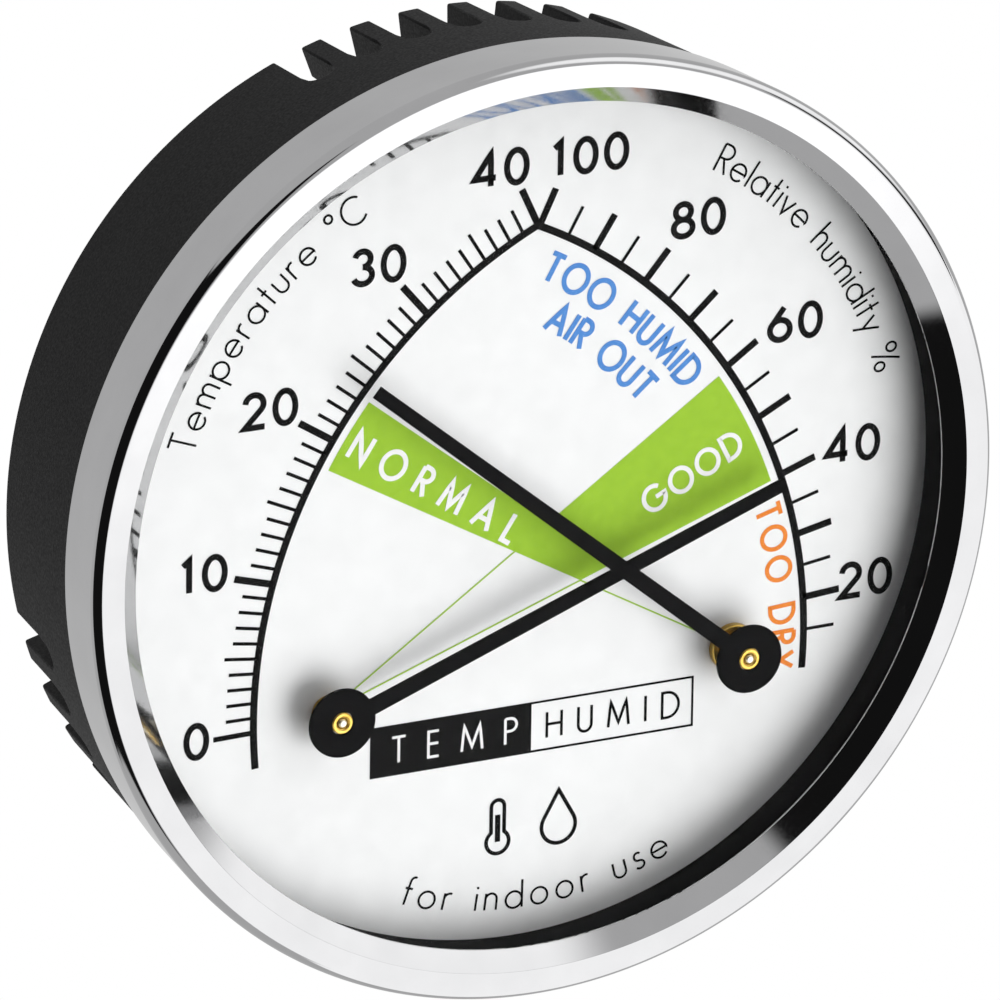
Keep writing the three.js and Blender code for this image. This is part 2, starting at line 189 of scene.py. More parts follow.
def rounded_profile(
    corners: Sequence[Sequence[float]], closed: bool, steps: int = CORNER_STEPS
) -> Profile:
    """Round each corner of an outline with an arc of its own radius.

    A corner between two edges becomes the arc that touches both. The arc starts as far from the
    corner as its radius over the tangent of half the angle between the edges, its direction turns
    evenly from one edge's to the next one's, and its points follow the mid-circle of that turn.
    The outward side is to the right of the direction of travel, which runs towards +Y outside.

    Args:
        corners: (radius, y, corner radius) of each corner, in order.
        closed: Whether the last corner joins the first. An open outline ends on the axis.
        steps: Points on each arc, less one.

    Returns:
        The rounded outline.
    """
    table = np.array(corners, float)
    places, radii = table[:, :2], table[:, 2]
    before = unit(places - np.roll(places, 1, 0))
    after = unit(np.roll(places, -1, 0) - places)
    if not closed:
        before[0], after[-1] = after[0], before[-1]
        radii[[0, -1]] = 0
    turn = np.arctan2(before[:, 0] * after[:, 1] - before[:, 1] * after[:, 0],
                      (before * after).sum(1))
    run = radii * np.tan(np.abs(turn) / 2)
    share = np.linspace(0, 1, steps + 1)[None, :]
    angle = np.arctan2(before[:, 1], before[:, 0])[:, None] + turn[:, None] * share
    heading = np.stack([np.cos(angle), np.sin(angle)], -1)
    side = np.sign(turn)[:, None, None] * radii[:, None, None]
    left = np.stack([-heading[..., 1], heading[..., 0]], -1)
    start = (places - before * run[:, None])[:, None, :]
    points = start + side * (left[:, :1] - left)
    normals = np.stack([heading[..., 1], -heading[..., 0]], -1)
    if not closed:
        inner = slice(1, -1)
        points = np.concatenate([places[:1], points[inner].reshape(-1, 2), places[-1:]])
        normals = np.concatenate([normals[0, :1], normals[inner].reshape(-1, 2), normals[-1, -1:]])
        return Profile(points, normals, False)
    return Profile(points.reshape(-1, 2), normals.reshape(-1, 2), True)


def make_object(
    name: str,
    vertices: np.ndarray,
    faces: list[list[int]],
    normals: np.ndarray | None = None,
) -> bpy.types.Object:
    """Make an object at the origin from vertices in millimetres.

    Args:
        name: Name of the object and its mesh.
        vertices: (count, 3) array, in millimetres.
        faces: Vertex numbers of each face, counter-clockwise seen from outside.
        normals: Outward direction at each vertex, where the shape's formula gives it.

    Returns:
        The object, linked to the scene.
    """
    mesh = bpy.data.meshes.new(name)
    mesh.from_pydata((vertices * MM).tolist(), [], faces)
    mesh.shade_smooth()
    if normals is None:
        mesh.set_sharp_from_angle(angle=SHARP_ANGLE)
    else:
        mesh.normals_split_custom_set_from_vertices(normals.tolist())
    return add_object(name, mesh)


def grid_faces(rows: int, columns: int, wrap_rows: bool, wrap_columns: bool) -> np.ndarray:
    """Number the quads of a grid, with the column direction first in each.

    Args:
        rows: Points along the first direction.
        columns: Points along the second direction.
        wrap_rows: Whether the last row joins the first.
        wrap_columns: Whether the last column joins the first.

    Returns:
        (count, 4) array of vertex numbers.
    """
    number = np.arange(rows * columns).reshape(rows, columns)
    i = np.arange(rows if wrap_rows else rows - 1)
    j = np.arange(columns if wrap_columns else columns - 1)
    a, b = np.meshgrid(i, j, indexing="ij")
    c, d = (a + 1) % rows, (b + 1) % columns
    quads = [number[a, b], number[a, d], number[c, d], number[c, b]]
    return np.stack(quads, -1).reshape(-1, 4)


def turned(name: str, profile: Profile, x: float = 0, z: float = 0,
           steps: int = ROUND_STEPS) -> bpy.types.Object:
    """Turn an outline about the line through (x, z) along Y.

    Point (angle, share) of the surface is the outline's point at that share, with its radius
    laid along the direction (cos angle, sin angle) in X and Z. An outline that ends on the axis
    is closed there by a fan round one point.

    Args:
        name: Name of the object.
        profile: Outline to turn.
        x: Place of the axis.
        z: Place of the axis.
        steps: Points round the axis.

    Returns:
        The turned piece.
    """
    ring = slice(None) if profile.closed else slice(1, -1)
    points, normals = profile.points[ring], profile.normals[ring]
    angle = np.linspace(0, 2 * math.pi, steps, endpoint=False)[:, None]

    def spread(pairs: np.ndarray) -> np.ndarray:
        """Lay (radius, y) pairs along every direction."""
        radius, y = pairs[None, :, 0], pairs[None, :, 1]
        return np.stack([radius * np.cos(angle), y + 0 * angle, radius * np.sin(angle)], -1)

    vertices = spread(points).reshape(-1, 3)
    directions = spread(normals).reshape(-1, 3)
    columns = len(points)
    faces = grid_faces(steps, columns, True, profile.closed).tolist()
    if not profile.closed:
        count = len(vertices)
        ends = profile.points[[0, -1]]
        vertices = np.concatenate([vertices, [[0, ends[0, 1], 0], [0, ends[1, 1], 0]]])
        directions = np.concatenate([directions, [[0, -1, 0], [0, 1, 0]]])
        first = np.arange(steps) * columns
        following = np.roll(first, -1)
        last, last_following = first + columns - 1, following + columns - 1
        faces += np.stack([np.full(steps, count), first, following], -1).tolist()
        faces += np.stack([np.full(steps, count + 1), last_following, last], -1).tolist()
    return make_object(name, vertices + [x, 0, z], faces, directions)


def add_bevel(piece: bpy.types.Object, width: float, segments: int = 2) -> None:
    """Break a piece's sharp edges.

    Args:
        piece: Object to bevel.
        width: Width of the broken edge.
        segments: Flats across it.
    """
    bevel = piece.modifiers.new("Broken edges", "BEVEL")
    bevel.width = width * MM
    bevel.segments = segments
    bevel.limit_method = "ANGLE"
    bevel.angle_limit = SHARP_ANGLE
    bevel.harden_normals = True


def stand_for(
    piece: bpy.types.Object, nodes: Sequence[str], finish: bpy.types.Material
) -> bpy.types.Object:
    """Dress a piece and let it stand for CAD nodes, on the body of the first.

    Args:
        piece: New piece.
        nodes: CAD nodes that it replaces.
        finish: Material of the whole piece.

    Returns:
        The same piece.
    """
    dress(piece, finish)
    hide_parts(*nodes)
    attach(piece, body_of(nodes[0]))
    LOG.info("%s stands for %s", piece.name, ", ".join(nodes))
    return piece


def dress(piece: bpy.types.Object, finish: bpy.types.Material) -> None:
    """Give a piece one material all over."""
    piece.data.materials.clear()
    piece.data.materials.append(finish)


def turned_stand_in(
    name: str, node: str, finish: bpy.types.Material, axis: Span,
    corners: Sequence[Sequence[float]], closed: bool = True, steps: int = ROUND_STEPS,
    corner_steps: int = CORNER_STEPS,
) -> None:
    """Turn a piece from its corners and let it stand for its CAD node.

    Args:
        name: Name of the piece.
        node: CAD node that it replaces.
        finish: Material of the whole piece.
        axis: Span whose axis the piece is turned about.
        corners: (radius, y, corner radius) of each corner, in order.
        closed: Whether the last corner joins the first.
        steps: Points round the axis.
        corner_steps: Points on each corner's arc, less one.
    """
    profile = rounded_profile(corners, closed, corner_steps)
    stand_for(turned(name, profile, axis.x, axis.z, steps), [node], finish)


# ------------------------------------------------------------------------------ finishes


@dataclass(frozen=True)
class Finish:
    """What every finish has: a name, a base colour and a way to start its node tree."""

    name: str = "finish"
    colour: str = "#808080"

    def start(self) -> tuple[bpy.types.Material, bpy.types.NodeTree, bpy.types.NodeSocket]:
        """Make the material and its Object coordinates.

        Returns:
            The material, its emptied node tree, and the Object coordinate socket, in metres.
        """
        material = bpy.data.materials.new(self.name)
        material.use_nodes = True
        tree = material.node_tree
        tree.nodes.clear()
        place = add_node(tree, "ShaderNodeTexCoord").outputs["Object"]
        return material, tree, place

    def end(self, tree: bpy.types.NodeTree, shader: bpy.types.NodeSocket) -> None:
        """Link the last shader to the material's output."""
        add_node(tree, "ShaderNodeOutputMaterial", {"Surface": shader})

    def end_in_relief(
        self, tree: bpy.types.NodeTree, height: bpy.types.NodeSocket, depth: float,
        strength: float, inputs: dict[str, object],
    ) -> None:
        """Put a relief under a Principled shader and link that to the output.

        Args:
            tree: Node tree.
            height: Height of the relief, from 0 to 1.
            depth: Depth of the relief in millimetres.
            strength: Share of the relief that shows.
            inputs: The shader's other inputs.
        """
        relief = add_node(tree, "ShaderNodeBump", {
            "Height": height, "Distance": depth * MM, "Strength": strength})
        shader = add_node(tree, "ShaderNodeBsdfPrincipled", {
            **inputs, "Normal": relief.outputs["Normal"]})
        self.end(tree, shader.outputs["BSDF"])


def varied(
    tree: bpy.types.NodeTree, place: bpy.types.NodeSocket, feature: float, low: object,
    high: object,
) -> bpy.types.NodeSocket:
    """Vary a colour or a number by noise.

    Args:
        tree: Node tree.
        place: Coordinates, in metres.
        feature: Width of the noise's features.
        low: Number or colour where the noise is low.
        high: Number or colour where it is high.

    Returns:
        The varied value.
    """
    noise = add_node(tree, "ShaderNodeTexNoise",
                     {"Vector": place, "Scale": per_mm(feature), "Detail": NOISE_DETAIL})
    if isinstance(low, float):
        spread = add_node(tree, "ShaderNodeMapRange", {
            "Value": noise.outputs["Fac"], "From Min": NOISE_LOW, "From Max": NOISE_HIGH,
            "To Min": low, "To Max": high})
        return spread.outputs["Result"]
    ramp = add_node(tree, "ShaderNodeValToRGB", {"Fac": noise.outputs["Fac"]})
    stops = zip(ramp.color_ramp.elements, (NOISE_LOW, NOISE_HIGH), (low, high))
    for stop, position, colour in stops:
        stop.position, stop.color = position, colour
    return ramp.outputs["Color"]


@dataclass(frozen=True)
class GrainedFinish(Finish):
    """A surface whose colour drifts, whose gloss varies, and whose relief is fine noise.

    Drift, gloss and grain are the widths of the noise's features in millimetres. Along is the
    length of the grain where it is drawn out along X, or None where it is even.
    """

    deep_colour: str = "#808080"
    drift: float = 2.0
    gloss: float = 0.5
    grain: float = 0.5
    smooth: float = 0.4
    rough: float = 0.5
    relief: float = 0.004
    strength: float = 0.6
    detail: float = 2.0
    metallic: float = 0.0
    specular: float = 0.5
    along: float | None = None

    def build(self) -> bpy.types.Material:
        """Build the surface: noise for its colour and gloss, over noise for its relief."""
        material, tree, place = self.start()
        if self.along is not None:
            place = add_node(tree, "ShaderNodeMapping", {
                "Vector": place, "Scale": (self.grain / self.along, 1, 1)}).outputs["Vector"]
        colour = varied(tree, place, self.drift, linear(self.deep_colour), linear(self.colour))
        shine = varied(tree, place, self.gloss, self.smooth, self.rough)
        height = add_node(tree, "ShaderNodeTexNoise", {
            "Vector": place, "Scale": per_mm(self.grain), "Detail": self.detail})
        self.end_in_relief(tree, height.outputs["Fac"], self.relief, self.strength, {
            "Base Color": colour, "Metallic": self.metallic, "Roughness": shine,
            "Specular IOR Level": self.specular})
        return material


# Bright chrome plate on a polished moulding: polishing haze in the gloss, and slow ripples
CHROME_PLATE = GrainedFinish(
    name="chrome_plate_polished", colour="#C2C2C3", deep_colour="#BCBCBD", drift=7.0, gloss=0.35,
    grain=7.0, smooth=0.035, rough=0.075, relief=0.0012, strength=1.0, detail=1.0, metallic=1.0)
# Black ABS from a spark-eroded mould: slow flow marks, and an even, fine, matt grain
CASE_PLASTIC = GrainedFinish(
    name="abs_black_moulded", colour="#111112", deep_colour="#0B0B0C", drift=9.0, gloss=0.28,
    grain=0.28, smooth=0.5, rough=0.68, relief=0.02, strength=0.8, specular=0.15)
# The same black plastic from a smoother mould. Its colour is darkened below the case's as painted
# shade for the dark band inside the ring.
SHADED_SPACER_PLASTIC = GrainedFinish(
    name="abs_black_smooth_painted_shade", colour="#0C0C0D", deep_colour="#070707", drift=9.0, gloss=0.5,
    grain=0.5, smooth=0.5, rough=0.68, relief=0.004, strength=0.8, specular=0.06)
# Satin lacquers sprayed or baked on sheet metal: even colour and fine orange peel
DIAL_LACQUER = GrainedFinish(
    name="lacquer_white_sprayed", colour="#F4F5F5", deep_colour="#EFF0F0", drift=2.4, gloss=0.6,
    grain=0.6, relief=0.003, specular=0.3)
POINTER_LACQUER = GrainedFinish(
    name="lacquer_black_baked", colour="#0D0D0E", deep_colour="#080808", drift=1.0, gloss=0.25,
    grain=0.25, smooth=0.42, rough=0.58, relief=0.006, specular=0.02)
# Cold-rolled sheet and strip: long, faint draw marks along the rolling direction
STEEL_SHEET = GrainedFinish(
    name="steel_cold_rolled", colour="#BCBEC0", deep_colour="#A3A5A8", drift=0.72, gloss=0.24,
    grain=0.12, smooth=0.28, rough=0.42, relief=0.003, strength=0.5, metallic=1.0, along=6.0)
BIMETAL = replace(
    STEEL_SHEET, name="bimetal_strip_rolled", colour="#BFA98C", deep_colour="#A68F72")
HUMIDITY_STRIP = replace(
    STEEL_SHEET, name="coated_strip_rolled", colour="#CDB98E", deep_colour="#B5A075",
    smooth=0.5, rough=0.66, metallic=0.3)


class Ink(Enum):
    """Screen-printing inks of the dial, as (colour, deeper colour) of the dried film."""

    BLACK = ("#111111", "#0A0A0A")
    GREEN = ("#A3CE3E", "#98C437")
    BLUE = ("#5E95DB", "#528AD2")
    ORANGE = ("#F39243", "#EC8334")
    WHITE = ("#FAFAFA", "#F1F2F2")

    def finish(self) -> GrainedFinish:
        """Return the ink's finish; the mesh of the screen shows as a very shallow relief."""
        colour, deep = self.value
        return GrainedFinish(
            name=f"screen_ink_{self.name.lower()}", colour=colour, deep_colour=deep, drift=1.2,
            gloss=0.3, grain=0.3, smooth=0.42, rough=0.55, relief=0.002, specular=0.03)


@dataclass(frozen=True)
class LensGlass(Finish):
    """Float glass with a faint anti-glare bloom: clear, bending, and only weakly reflecting.

    Light from lamps and from diffuse surfaces passes straight through, as it nearly does through a
    thin flat pane, so that the dial is lit without caustics.
    """

    name: str = "float_glass_flat"
    colour: str = "#FFFFFF"
    bending: float = 1.5
    gloss: float = 0.03
    smear: float = 3.0
    smooth: float = 0.01
    rough: float = 0.05

    def build(self) -> bpy.types.Material:
        """Build the glass: refraction, a weak Fresnel gloss, and a straight way for lamp light."""
        material, tree, place = self.start()
        tint = linear(self.colour)
        haze = varied(tree, place, self.smear, self.smooth, self.rough)
        through = add_node(tree, "ShaderNodeBsdfRefraction",
                           {"Color": tint, "Roughness": 0.0, "IOR": self.bending})
        shine = add_node(tree, "ShaderNodeBsdfAnisotropic", {"Color": tint, "Roughness": haze})
        fresnel = add_node(tree, "ShaderNodeFresnel", {"IOR": self.bending})
        weak = add_node(tree, "ShaderNodeMath", {0: fresnel.outputs["Fac"], 1: self.gloss},
                        operation="MULTIPLY")
        pane = add_node(tree, "ShaderNodeMixShader", {
            0: weak.outputs[0], 1: through.outputs["BSDF"], 2: shine.outputs["BSDF"]})
        path = add_node(tree, "ShaderNodeLightPath")
        lamp = add_node(tree, "ShaderNodeMath", {
            0: path.outputs["Is Shadow Ray"], 1: path.outputs["Is Diffuse Ray"]},
            operation="MAXIMUM")
        straight = add_node(tree, "ShaderNodeBsdfTransparent", {"Color": tint})
        both = add_node(tree, "ShaderNodeMixShader", {
            0: lamp.outputs[0], 1: pane.outputs["Shader"], 2: straight.outputs["BSDF"]})
        self.end(tree, both.outputs["Shader"])
        return material


@dataclass(frozen=True)
class TurnedMetal(Finish):
    """Bar metal turned on a lathe: fine rings round the piece's axis catch the light.

    The real rings are about 0.05 mm apart; they are drawn wider so that they show.
    """

    deep_colour: str = "#808080"
    x: float = 0.0
    z: float = 0.0
    pitch: float = 0.11
    groove: float = 0.004
    tarnish: float = 0.8
    wobble: float = 0.6
    smooth: float = 0.2
    rough: float = 0.34

    def build(self) -> bpy.types.Material:
        """Build the metal: rings in height and gloss, and patches of tarnish in colour."""
        material, tree, place = self.start()
        centred = add_node(tree, "ShaderNodeMapping", {
            "Vector": place, "Location": (-self.x * MM, 0, -self.z * MM)}).outputs["Vector"]
        rings = add_node(tree, "ShaderNodeTexWave", {
            "Vector": centred, "Scale": ring_scale(self.pitch), "Distortion": self.wobble,
            "Detail": 2.0}, wave_type="RINGS", rings_direction="Y")
        colour = varied(tree, place, self.tarnish, linear(self.deep_colour), linear(self.colour))
        gloss = add_node(tree, "ShaderNodeMapRange", {
            "Value": rings.outputs["Fac"], "To Min": self.smooth, "To Max": self.rough})
        self.end_in_relief(tree, rings.outputs["Fac"], self.groove, 0.5, {
            "Base Color": colour, "Metallic": 1.0, "Roughness": gloss.outputs["Result"]})
        return material


class BarMetal(Enum):
    """Metals of the small turned parts, as (colour, tarnished colour)."""

    BRASS = ("#D3B25C", "#B68F3C")
    STEEL = ("#E2DCC8", "#C4BCA6")

    def finish(self, owner: str, axis: Span) -> TurnedMetal:
        """Return the metal's finish, with its rings round an axis."""
        colour, deep = self.value
        return TurnedMetal(name=f"{self.name.lower()}_turned_{owner}", colour=colour,
                           deep_colour=deep, x=axis.x, z=axis.z)


# ------------------------------------------------------------------------------ housing


@dataclass
class BezelRing:
    """Chromed ring round the lens. Insets are counted inwards from its outer radius."""

    wall: float = 1.75
    draft: float = 0.6
    corner_radius: float = 1.1
    corner_reach: float = 0.06
    corner_depth: float = 0.33
    crest_inset: float = 3.2
    lip_inset: float = 5.2
    bevel_depth: float = 1.7
    lip_thickness: float = 0.25
    edge_radius: float = 0.12
    crest_radius: float = 0.1
    lip_radius: float = 0.06
    corner_steps: int = 10

    def build(self) -> None:
        """Turn the ring from its sloped face, round corner, side, bore, lip and inner bevel."""
        span = Span.of("bezel_ring")
        outer, front, rear = span.radius, span.front, span.rear
        bore, lip = outer - self.wall, outer - self.lip_inset
        lip_front = front + self.bevel_depth
        lip_rear = lip_front + self.lip_thickness
        corners = [
            (outer - self.crest_inset, front, self.crest_radius),
            (outer + self.corner_reach, front + self.corner_depth, self.corner_radius),
            (outer - self.draft, rear, self.edge_radius),
            (bore, rear, self.edge_radius),
            (bore, lip_rear, self.lip_radius),
            (lip, lip_rear, self.lip_radius),
            (lip, lip_front, self.lip_radius),
        ]
        turned_stand_in("bezel", "bezel_ring", CHROME_PLATE.build(), span, corners,
                        corner_steps=self.corner_steps)


@dataclass
class Lens:
    """Flat disc of glass with softly ground edges."""

    edge_radius: float = 0.15

    def build(self) -> None:
        """Turn the disc from the axis out and back."""
        span = Span.of("lens")
        turned_stand_in("lens_glass", "lens", LensGlass().build(), span, [
            (0, span.front, 0),
            (span.radius, span.front, self.edge_radius),
            (span.radius, span.rear, self.edge_radius),
            (0, span.rear, 0),
        ], closed=False)


@dataclass
class SpacerRing:
    """Black ring that holds the dial at its distance behind the lens."""

    wall: float = 1.0
    edge_radius: float = 0.12

    def build(self, plastic: bpy.types.Material) -> None:
        """Turn the ring from its four broken edges."""
        span = Span.of("spacer_ring")
        inner = span.radius - self.wall
        turned_stand_in("dial_spacer", "spacer_ring", plastic, span, [
            (span.radius, span.front, self.edge_radius),
            (span.radius, span.rear, self.edge_radius),
            (inner, span.rear, self.edge_radius),
            (inner, span.front, self.edge_radius),
        ])


@dataclass
class SlotRow:
    """A row of air slots: how many, and the angle of its middle from +X towards +Z."""

    count: int
    middle: float


@dataclass
class RearCase:
    """Black case: spigot, shoulder, tapered slotted skirt, and floor with its openings."""

    spigot_wall: float = 1.4
    spigot_radius: float = 49.15
    shoulder_radius: float = 50.1
    rear_radius: float = 48.5
    ledge_bore: float = 45.5
    skirt_bore: float = 44.9
    shoulder_y: float = -18.9
    ledge_y: float = -19.85
    floor_front_y: float = -11.7
    floor_rear_y: float = -9.7
    slot_width: float = 3.2
    slot_pitch: float = 6.6
    slot_end_y: float = -9.65
    slot_points: int = 13
    plain_step: float = 1.5
    floor_sink: float = 0.35
    vent_count: int = 8
    vent_inner: float = 6.0
    vent_outer: float = 12.0
    vent_width: float = 2.2
    keyhole_z: float = 26.0
    keyhole_radius: float = 4.5
    keyhole_slot: float = 4.6
    keyhole_run: float = 7.0
    access_radius: float = 3.2
    floor_edge: float = 0.16
    edge: float = 0.3
    rows: tuple[SlotRow, ...] = (SlotRow(7, 90.9), SlotRow(24, 270.9))

    def slot_centres(self) -> np.ndarray:
        """Return every slot's angle in radians, in rising order round the case."""
        angles = [row.middle + self.slot_pitch * (np.arange(row.count) - (row.count - 1) / 2)
                  for row in self.rows]
        return np.radians(np.concatenate(angles))

    def columns(self) -> tuple[np.ndarray, ...]:
        """Lay out the wall's columns: across each slot, and between each slot and the next.

        Across a slot the rear edge follows the slot's round end, half the width less its cosine
        behind the end, and two more columns at its sides drop to the rim. Between slots the
        columns blend from one slot's side to the next one's.

        Returns:
            Angles and sideways offsets of the two slots that each column blends, the share of the
            second, and the y of the column's rear edge.
        """
        half = self.slot_width / 2
        centres = self.slot_centres()
        turn = np.linspace(-math.pi / 2, math.pi / 2, self.slot_points)
        offset = np.concatenate([[-half], half * np.sin(turn), [half]])
        rear = np.concatenate([[0.0], self.slot_end_y + half * (1 - np.cos(turn)), [0.0]])
        parts = []
        for centre, following in zip(centres, np.append(centres[1:], centres[0] + 2 * math.pi)):
            parts.append([centre + 0 * offset, offset, centre + 0 * offset, offset, 0 * offset,
                          rear])
            gap = following - centre
            count = max(3, round(math.degrees(gap) / self.plain_step))
            share = np.arange(1, count) / count
            side = 0 * share + half
            parts.append([centre + 0 * share, side, following + 0 * share, -side, share,
                          0 * share])
        return tuple(np.concatenate([part[k] for part in parts]) for k in range(6))

    def wall(self) -> tuple[np.ndarray, list[list[int]]]:
        """Carry the wall's section round the case.

        The section is the closed loop of spigot, shoulder, tapered skirt, rear edge, skirt bore
        and ledge. Its rear edge lies where the column says, on the taper outside and the bore
        inside, and one more point on each lies level with the slots' shoulders. A column's angle
        at a radius is its slot's angle plus the arc sine of the offset over the radius, so that
        slot sides stay parallel. Points that fall together are welded.

        Returns:
            The vertices and quads of the wall.
        """
        angle_a, side_a, angle_b, side_b, share, rear = self.columns()
        bore = self.spigot_radius - self.spigot_wall
        front = Span.of("rear_case").front
        middle = (self.floor_front_y + self.floor_rear_y) / 2
        slope = (self.rear_radius - self.shoulder_radius) / -self.shoulder_y
        fixed = [(bore, front), (self.spigot_radius, front), (self.spigot_radius, self.shoulder_y),
                 (self.shoulder_radius, self.shoulder_y)]
        inside = [(self.skirt_bore, middle), (self.ledge_bore, middle),
                  (self.ledge_bore, self.ledge_y), (bore, self.ledge_y)]
        level = np.minimum(rear, self.slot_end_y + self.slot_width / 2)

        def spread(pairs: list[tuple[float, float]]) -> np.ndarray:
            """Repeat (radius, y) pairs for every column."""
            return np.broadcast_to(np.array(pairs), (len(rear), len(pairs), 2))

        taper = [np.stack([self.shoulder_radius + slope * (y - self.shoulder_y), y], -1)
                 for y in (level, rear)]
        bored = [np.stack([0 * y + self.skirt_bore, y], -1) for y in (rear, level)]
        section = np.concatenate([spread(fixed), np.stack([*taper, *bored], 1), spread(inside)], 1)
        radius, y = section[..., 0], section[..., 1]
        first = angle_a[:, None] + np.arcsin(side_a[:, None] / radius)
        second = angle_b[:, None] + np.arcsin(side_b[:, None] / radius)
        angle = first + (second - first) * share[:, None]
        points = np.stack([radius * np.cos(angle), y, radius * np.sin(angle)], -1)
        return welded(points.reshape(-1, 3), grid_faces(*radius.shape, True, True))

    def floor(self) -> bpy.types.Object:
        """Fill the floor's outline, less its openings, and give it its thickness.

        Returns:
            The floor as a mesh object at the origin.
        """
        curve = bpy.data.curves.new("case_floor", "CURVE")
        curve.dimensions = "2D"
        curve.fill_mode = "BOTH"
        thickness = self.floor_rear_y - self.floor_front_y
        curve.extrude = (thickness / 2 - self.floor_edge) * MM
        curve.bevel_depth = self.floor_edge * MM
        curve.bevel_resolution = 1
        curve.offset = -self.floor_edge * MM
        outlines = [circle_outline(0, 0, self.ledge_bore + self.floor_sink, ROUND_STEPS)]
        outlines.append(self.keyhole_outline())
        pivots = [Span.of("thermometer_arbor"), Span.of("hygrometer_arbor")]
        outlines.append(circle_outline(pivots[1].x, pivots[1].z, self.access_radius,
                                       SMALL_ROUND_STEPS))
        for pivot in pivots:
            for k in range(self.vent_count):
                turn = 2 * math.pi * (k + 0.5) / self.vent_count
                slot = slot_outline(self.vent_inner, self.vent_outer, self.vent_width)
                cosine, sine = math.cos(turn), math.sin(turn)
                spun = slot @ np.array([[cosine, -sine], [sine, cosine]])
                outlines.append(spun + [pivot.x, pivot.z])
        for outline in outlines:
            spline = curve.splines.new("POLY")
            spline.points.add(len(outline) - 1)
            flat = np.column_stack([outline * MM, np.zeros(len(outline)), np.ones(len(outline))])
            spline.points.foreach_set("co", flat.ravel())
            spline.use_cyclic_u = True
        holder = add_object("case_floor", curve)
        mesh = bpy.data.meshes.new_from_object(holder.evaluated_get(
            bpy.context.evaluated_depsgraph_get()))
        bpy.data.objects.remove(holder)
        merge_close(mesh)
        middle = (self.floor_front_y + self.floor_rear_y) / 2
        mesh.transform(Matrix.Translation((0, middle * MM, 0)) @ Matrix.Rotation(
            math.pi / 2, 4, "X"))
        return add_object("case_floor", mesh)

    def keyhole_outline(self) -> np.ndarray:
        """Return the keyhole: a round entry and a narrower run above it with a round end."""
        half = self.keyhole_slot / 2
        meet = math.asin(half / self.keyhole_radius)
        entry = np.linspace(math.pi / 2 + meet, 2.5 * math.pi - meet, SMALL_ROUND_STEPS)
        end = np.linspace(0, math.pi, SMALL_ROUND_STEPS // 2)
        low = np.column_stack([np.cos(entry), np.sin(entry)]) * self.keyhole_radius
        high = np.column_stack([np.cos(end), np.sin(end)]) * half + [0, self.keyhole_run]
        return np.concatenate([low, high]) + [0, self.keyhole_z]

    def build(self, plastic: bpy.types.Material) -> None:
        """Join the wall and the floor into one piece and break its edges."""
        vertices, quads = self.wall()
        case = make_object("case", vertices, quads)
        add_bevel(case, self.edge, 3)
        floor = self.floor()
        dress(floor, plastic)
        dress(case, plastic)
        apply_modifiers(case)
        floor.data.shade_smooth()
        floor.data.set_sharp_from_angle(angle=SHARP_ANGLE)
        join(case, floor)
        stand_for(case, ["rear_case"], plastic)


def welded(points: np.ndarray, quads: np.ndarray) -> tuple[np.ndarray, list[list[int]]]:
    """Weld points that fall together and drop the quads that this flattens.

    Args:
        points: (count, 3) array.
        quads: (count, 4) array of point numbers.

    Returns:
        The points that stay, and the faces that still have an area.
    """
    whole = np.round(points / WELD).astype(np.int64)
    _, first, number = np.unique(whole, axis=0, return_index=True, return_inverse=True)
    quads = number.ravel()[quads]
    faces = [list(dict.fromkeys(quad)) for quad in quads.tolist()]
    return points[first], [face for face in faces if len(face) > 2]


def merge_close(mesh: bpy.types.Mesh) -> None:
    """Merge the vertices of a mesh that fall together."""
    work = bmesh.new()
    work.from_mesh(mesh)
    bmesh.ops.remove_doubles(work, verts=work.verts, dist=WELD * MM)
    bmesh.ops.recalc_face_normals(work, faces=work.faces)
    work.to_mesh(mesh)
    work.free()


def circle_outline(x: float, z: float, radius: float, steps: int) -> np.ndarray:
    """Return a round outline about (x, z)."""
    angle = np.linspace(0, 2 * math.pi, steps, endpoint=False)
    return np.column_stack([x + radius * np.cos(angle), z + radius * np.sin(angle)])


def slot_outline(start: float, end: float, width: float) -> np.ndarray:
    """Return a slot along +Z from start to end, with half-round ends."""
    half = width / 2
    angle = np.linspace(0, math.pi, 19)
    arc = np.column_stack([np.cos(angle), np.sin(angle)]) * half
    return np.concatenate([arc + [0, end - half], -arc + [0, start + half]])


def apply_modifiers(piece: bpy.types.Object) -> None:
    """Turn a piece's modifiers into mesh."""
    evaluated = piece.evaluated_get(bpy.context.evaluated_depsgraph_get())
    mesh = bpy.data.meshes.new_from_object(evaluated)
    piece.modifiers.clear()
    piece.data = mesh


def join(piece: bpy.types.Object, other: bpy.types.Object) -> None:
    """Add another object's mesh to a piece and remove the other."""
    with bpy.context.temp_override(
        active_object=piece, selected_objects=[piece, other],
        selected_editable_objects=[piece, other], object=piece,
    ):
        bpy.ops.object.join()


# ------------------------------------------------------------------------------ lettering


@dataclass(frozen=True)
class Arc:
    """Part of an ellipse in a glyph, in shares of the letter height, and degrees."""

    x: float
    y: float
    wide: float
    high: float
    start: float
    end: float

    def points(self) -> np.ndarray:
        """Return its points, about one for each twelve degrees."""
        steps = max(3, math.ceil(abs(self.end - self.start) / 12) + 1)
        angle = np.radians(np.linspace(self.start, self.end, steps))
        return np.column_stack([self.x + self.wide * np.cos(angle),
                                self.y + self.high * np.sin(angle)])


Stroke = tuple  # points as (x, y) pairs, and arcs, drawn without lifting the pen


@dataclass(frozen=True)
class Glyph:
    """One character: its width and its strokes, in shares of the letter height."""

    width: float
    strokes: tuple[Stroke, ...]


def ring_of(x: float, y: float, wide: float, high: float) -> Stroke:
    """Return a whole ellipse as one stroke."""
    return (Arc(x, y, wide, high, 90, 450),)


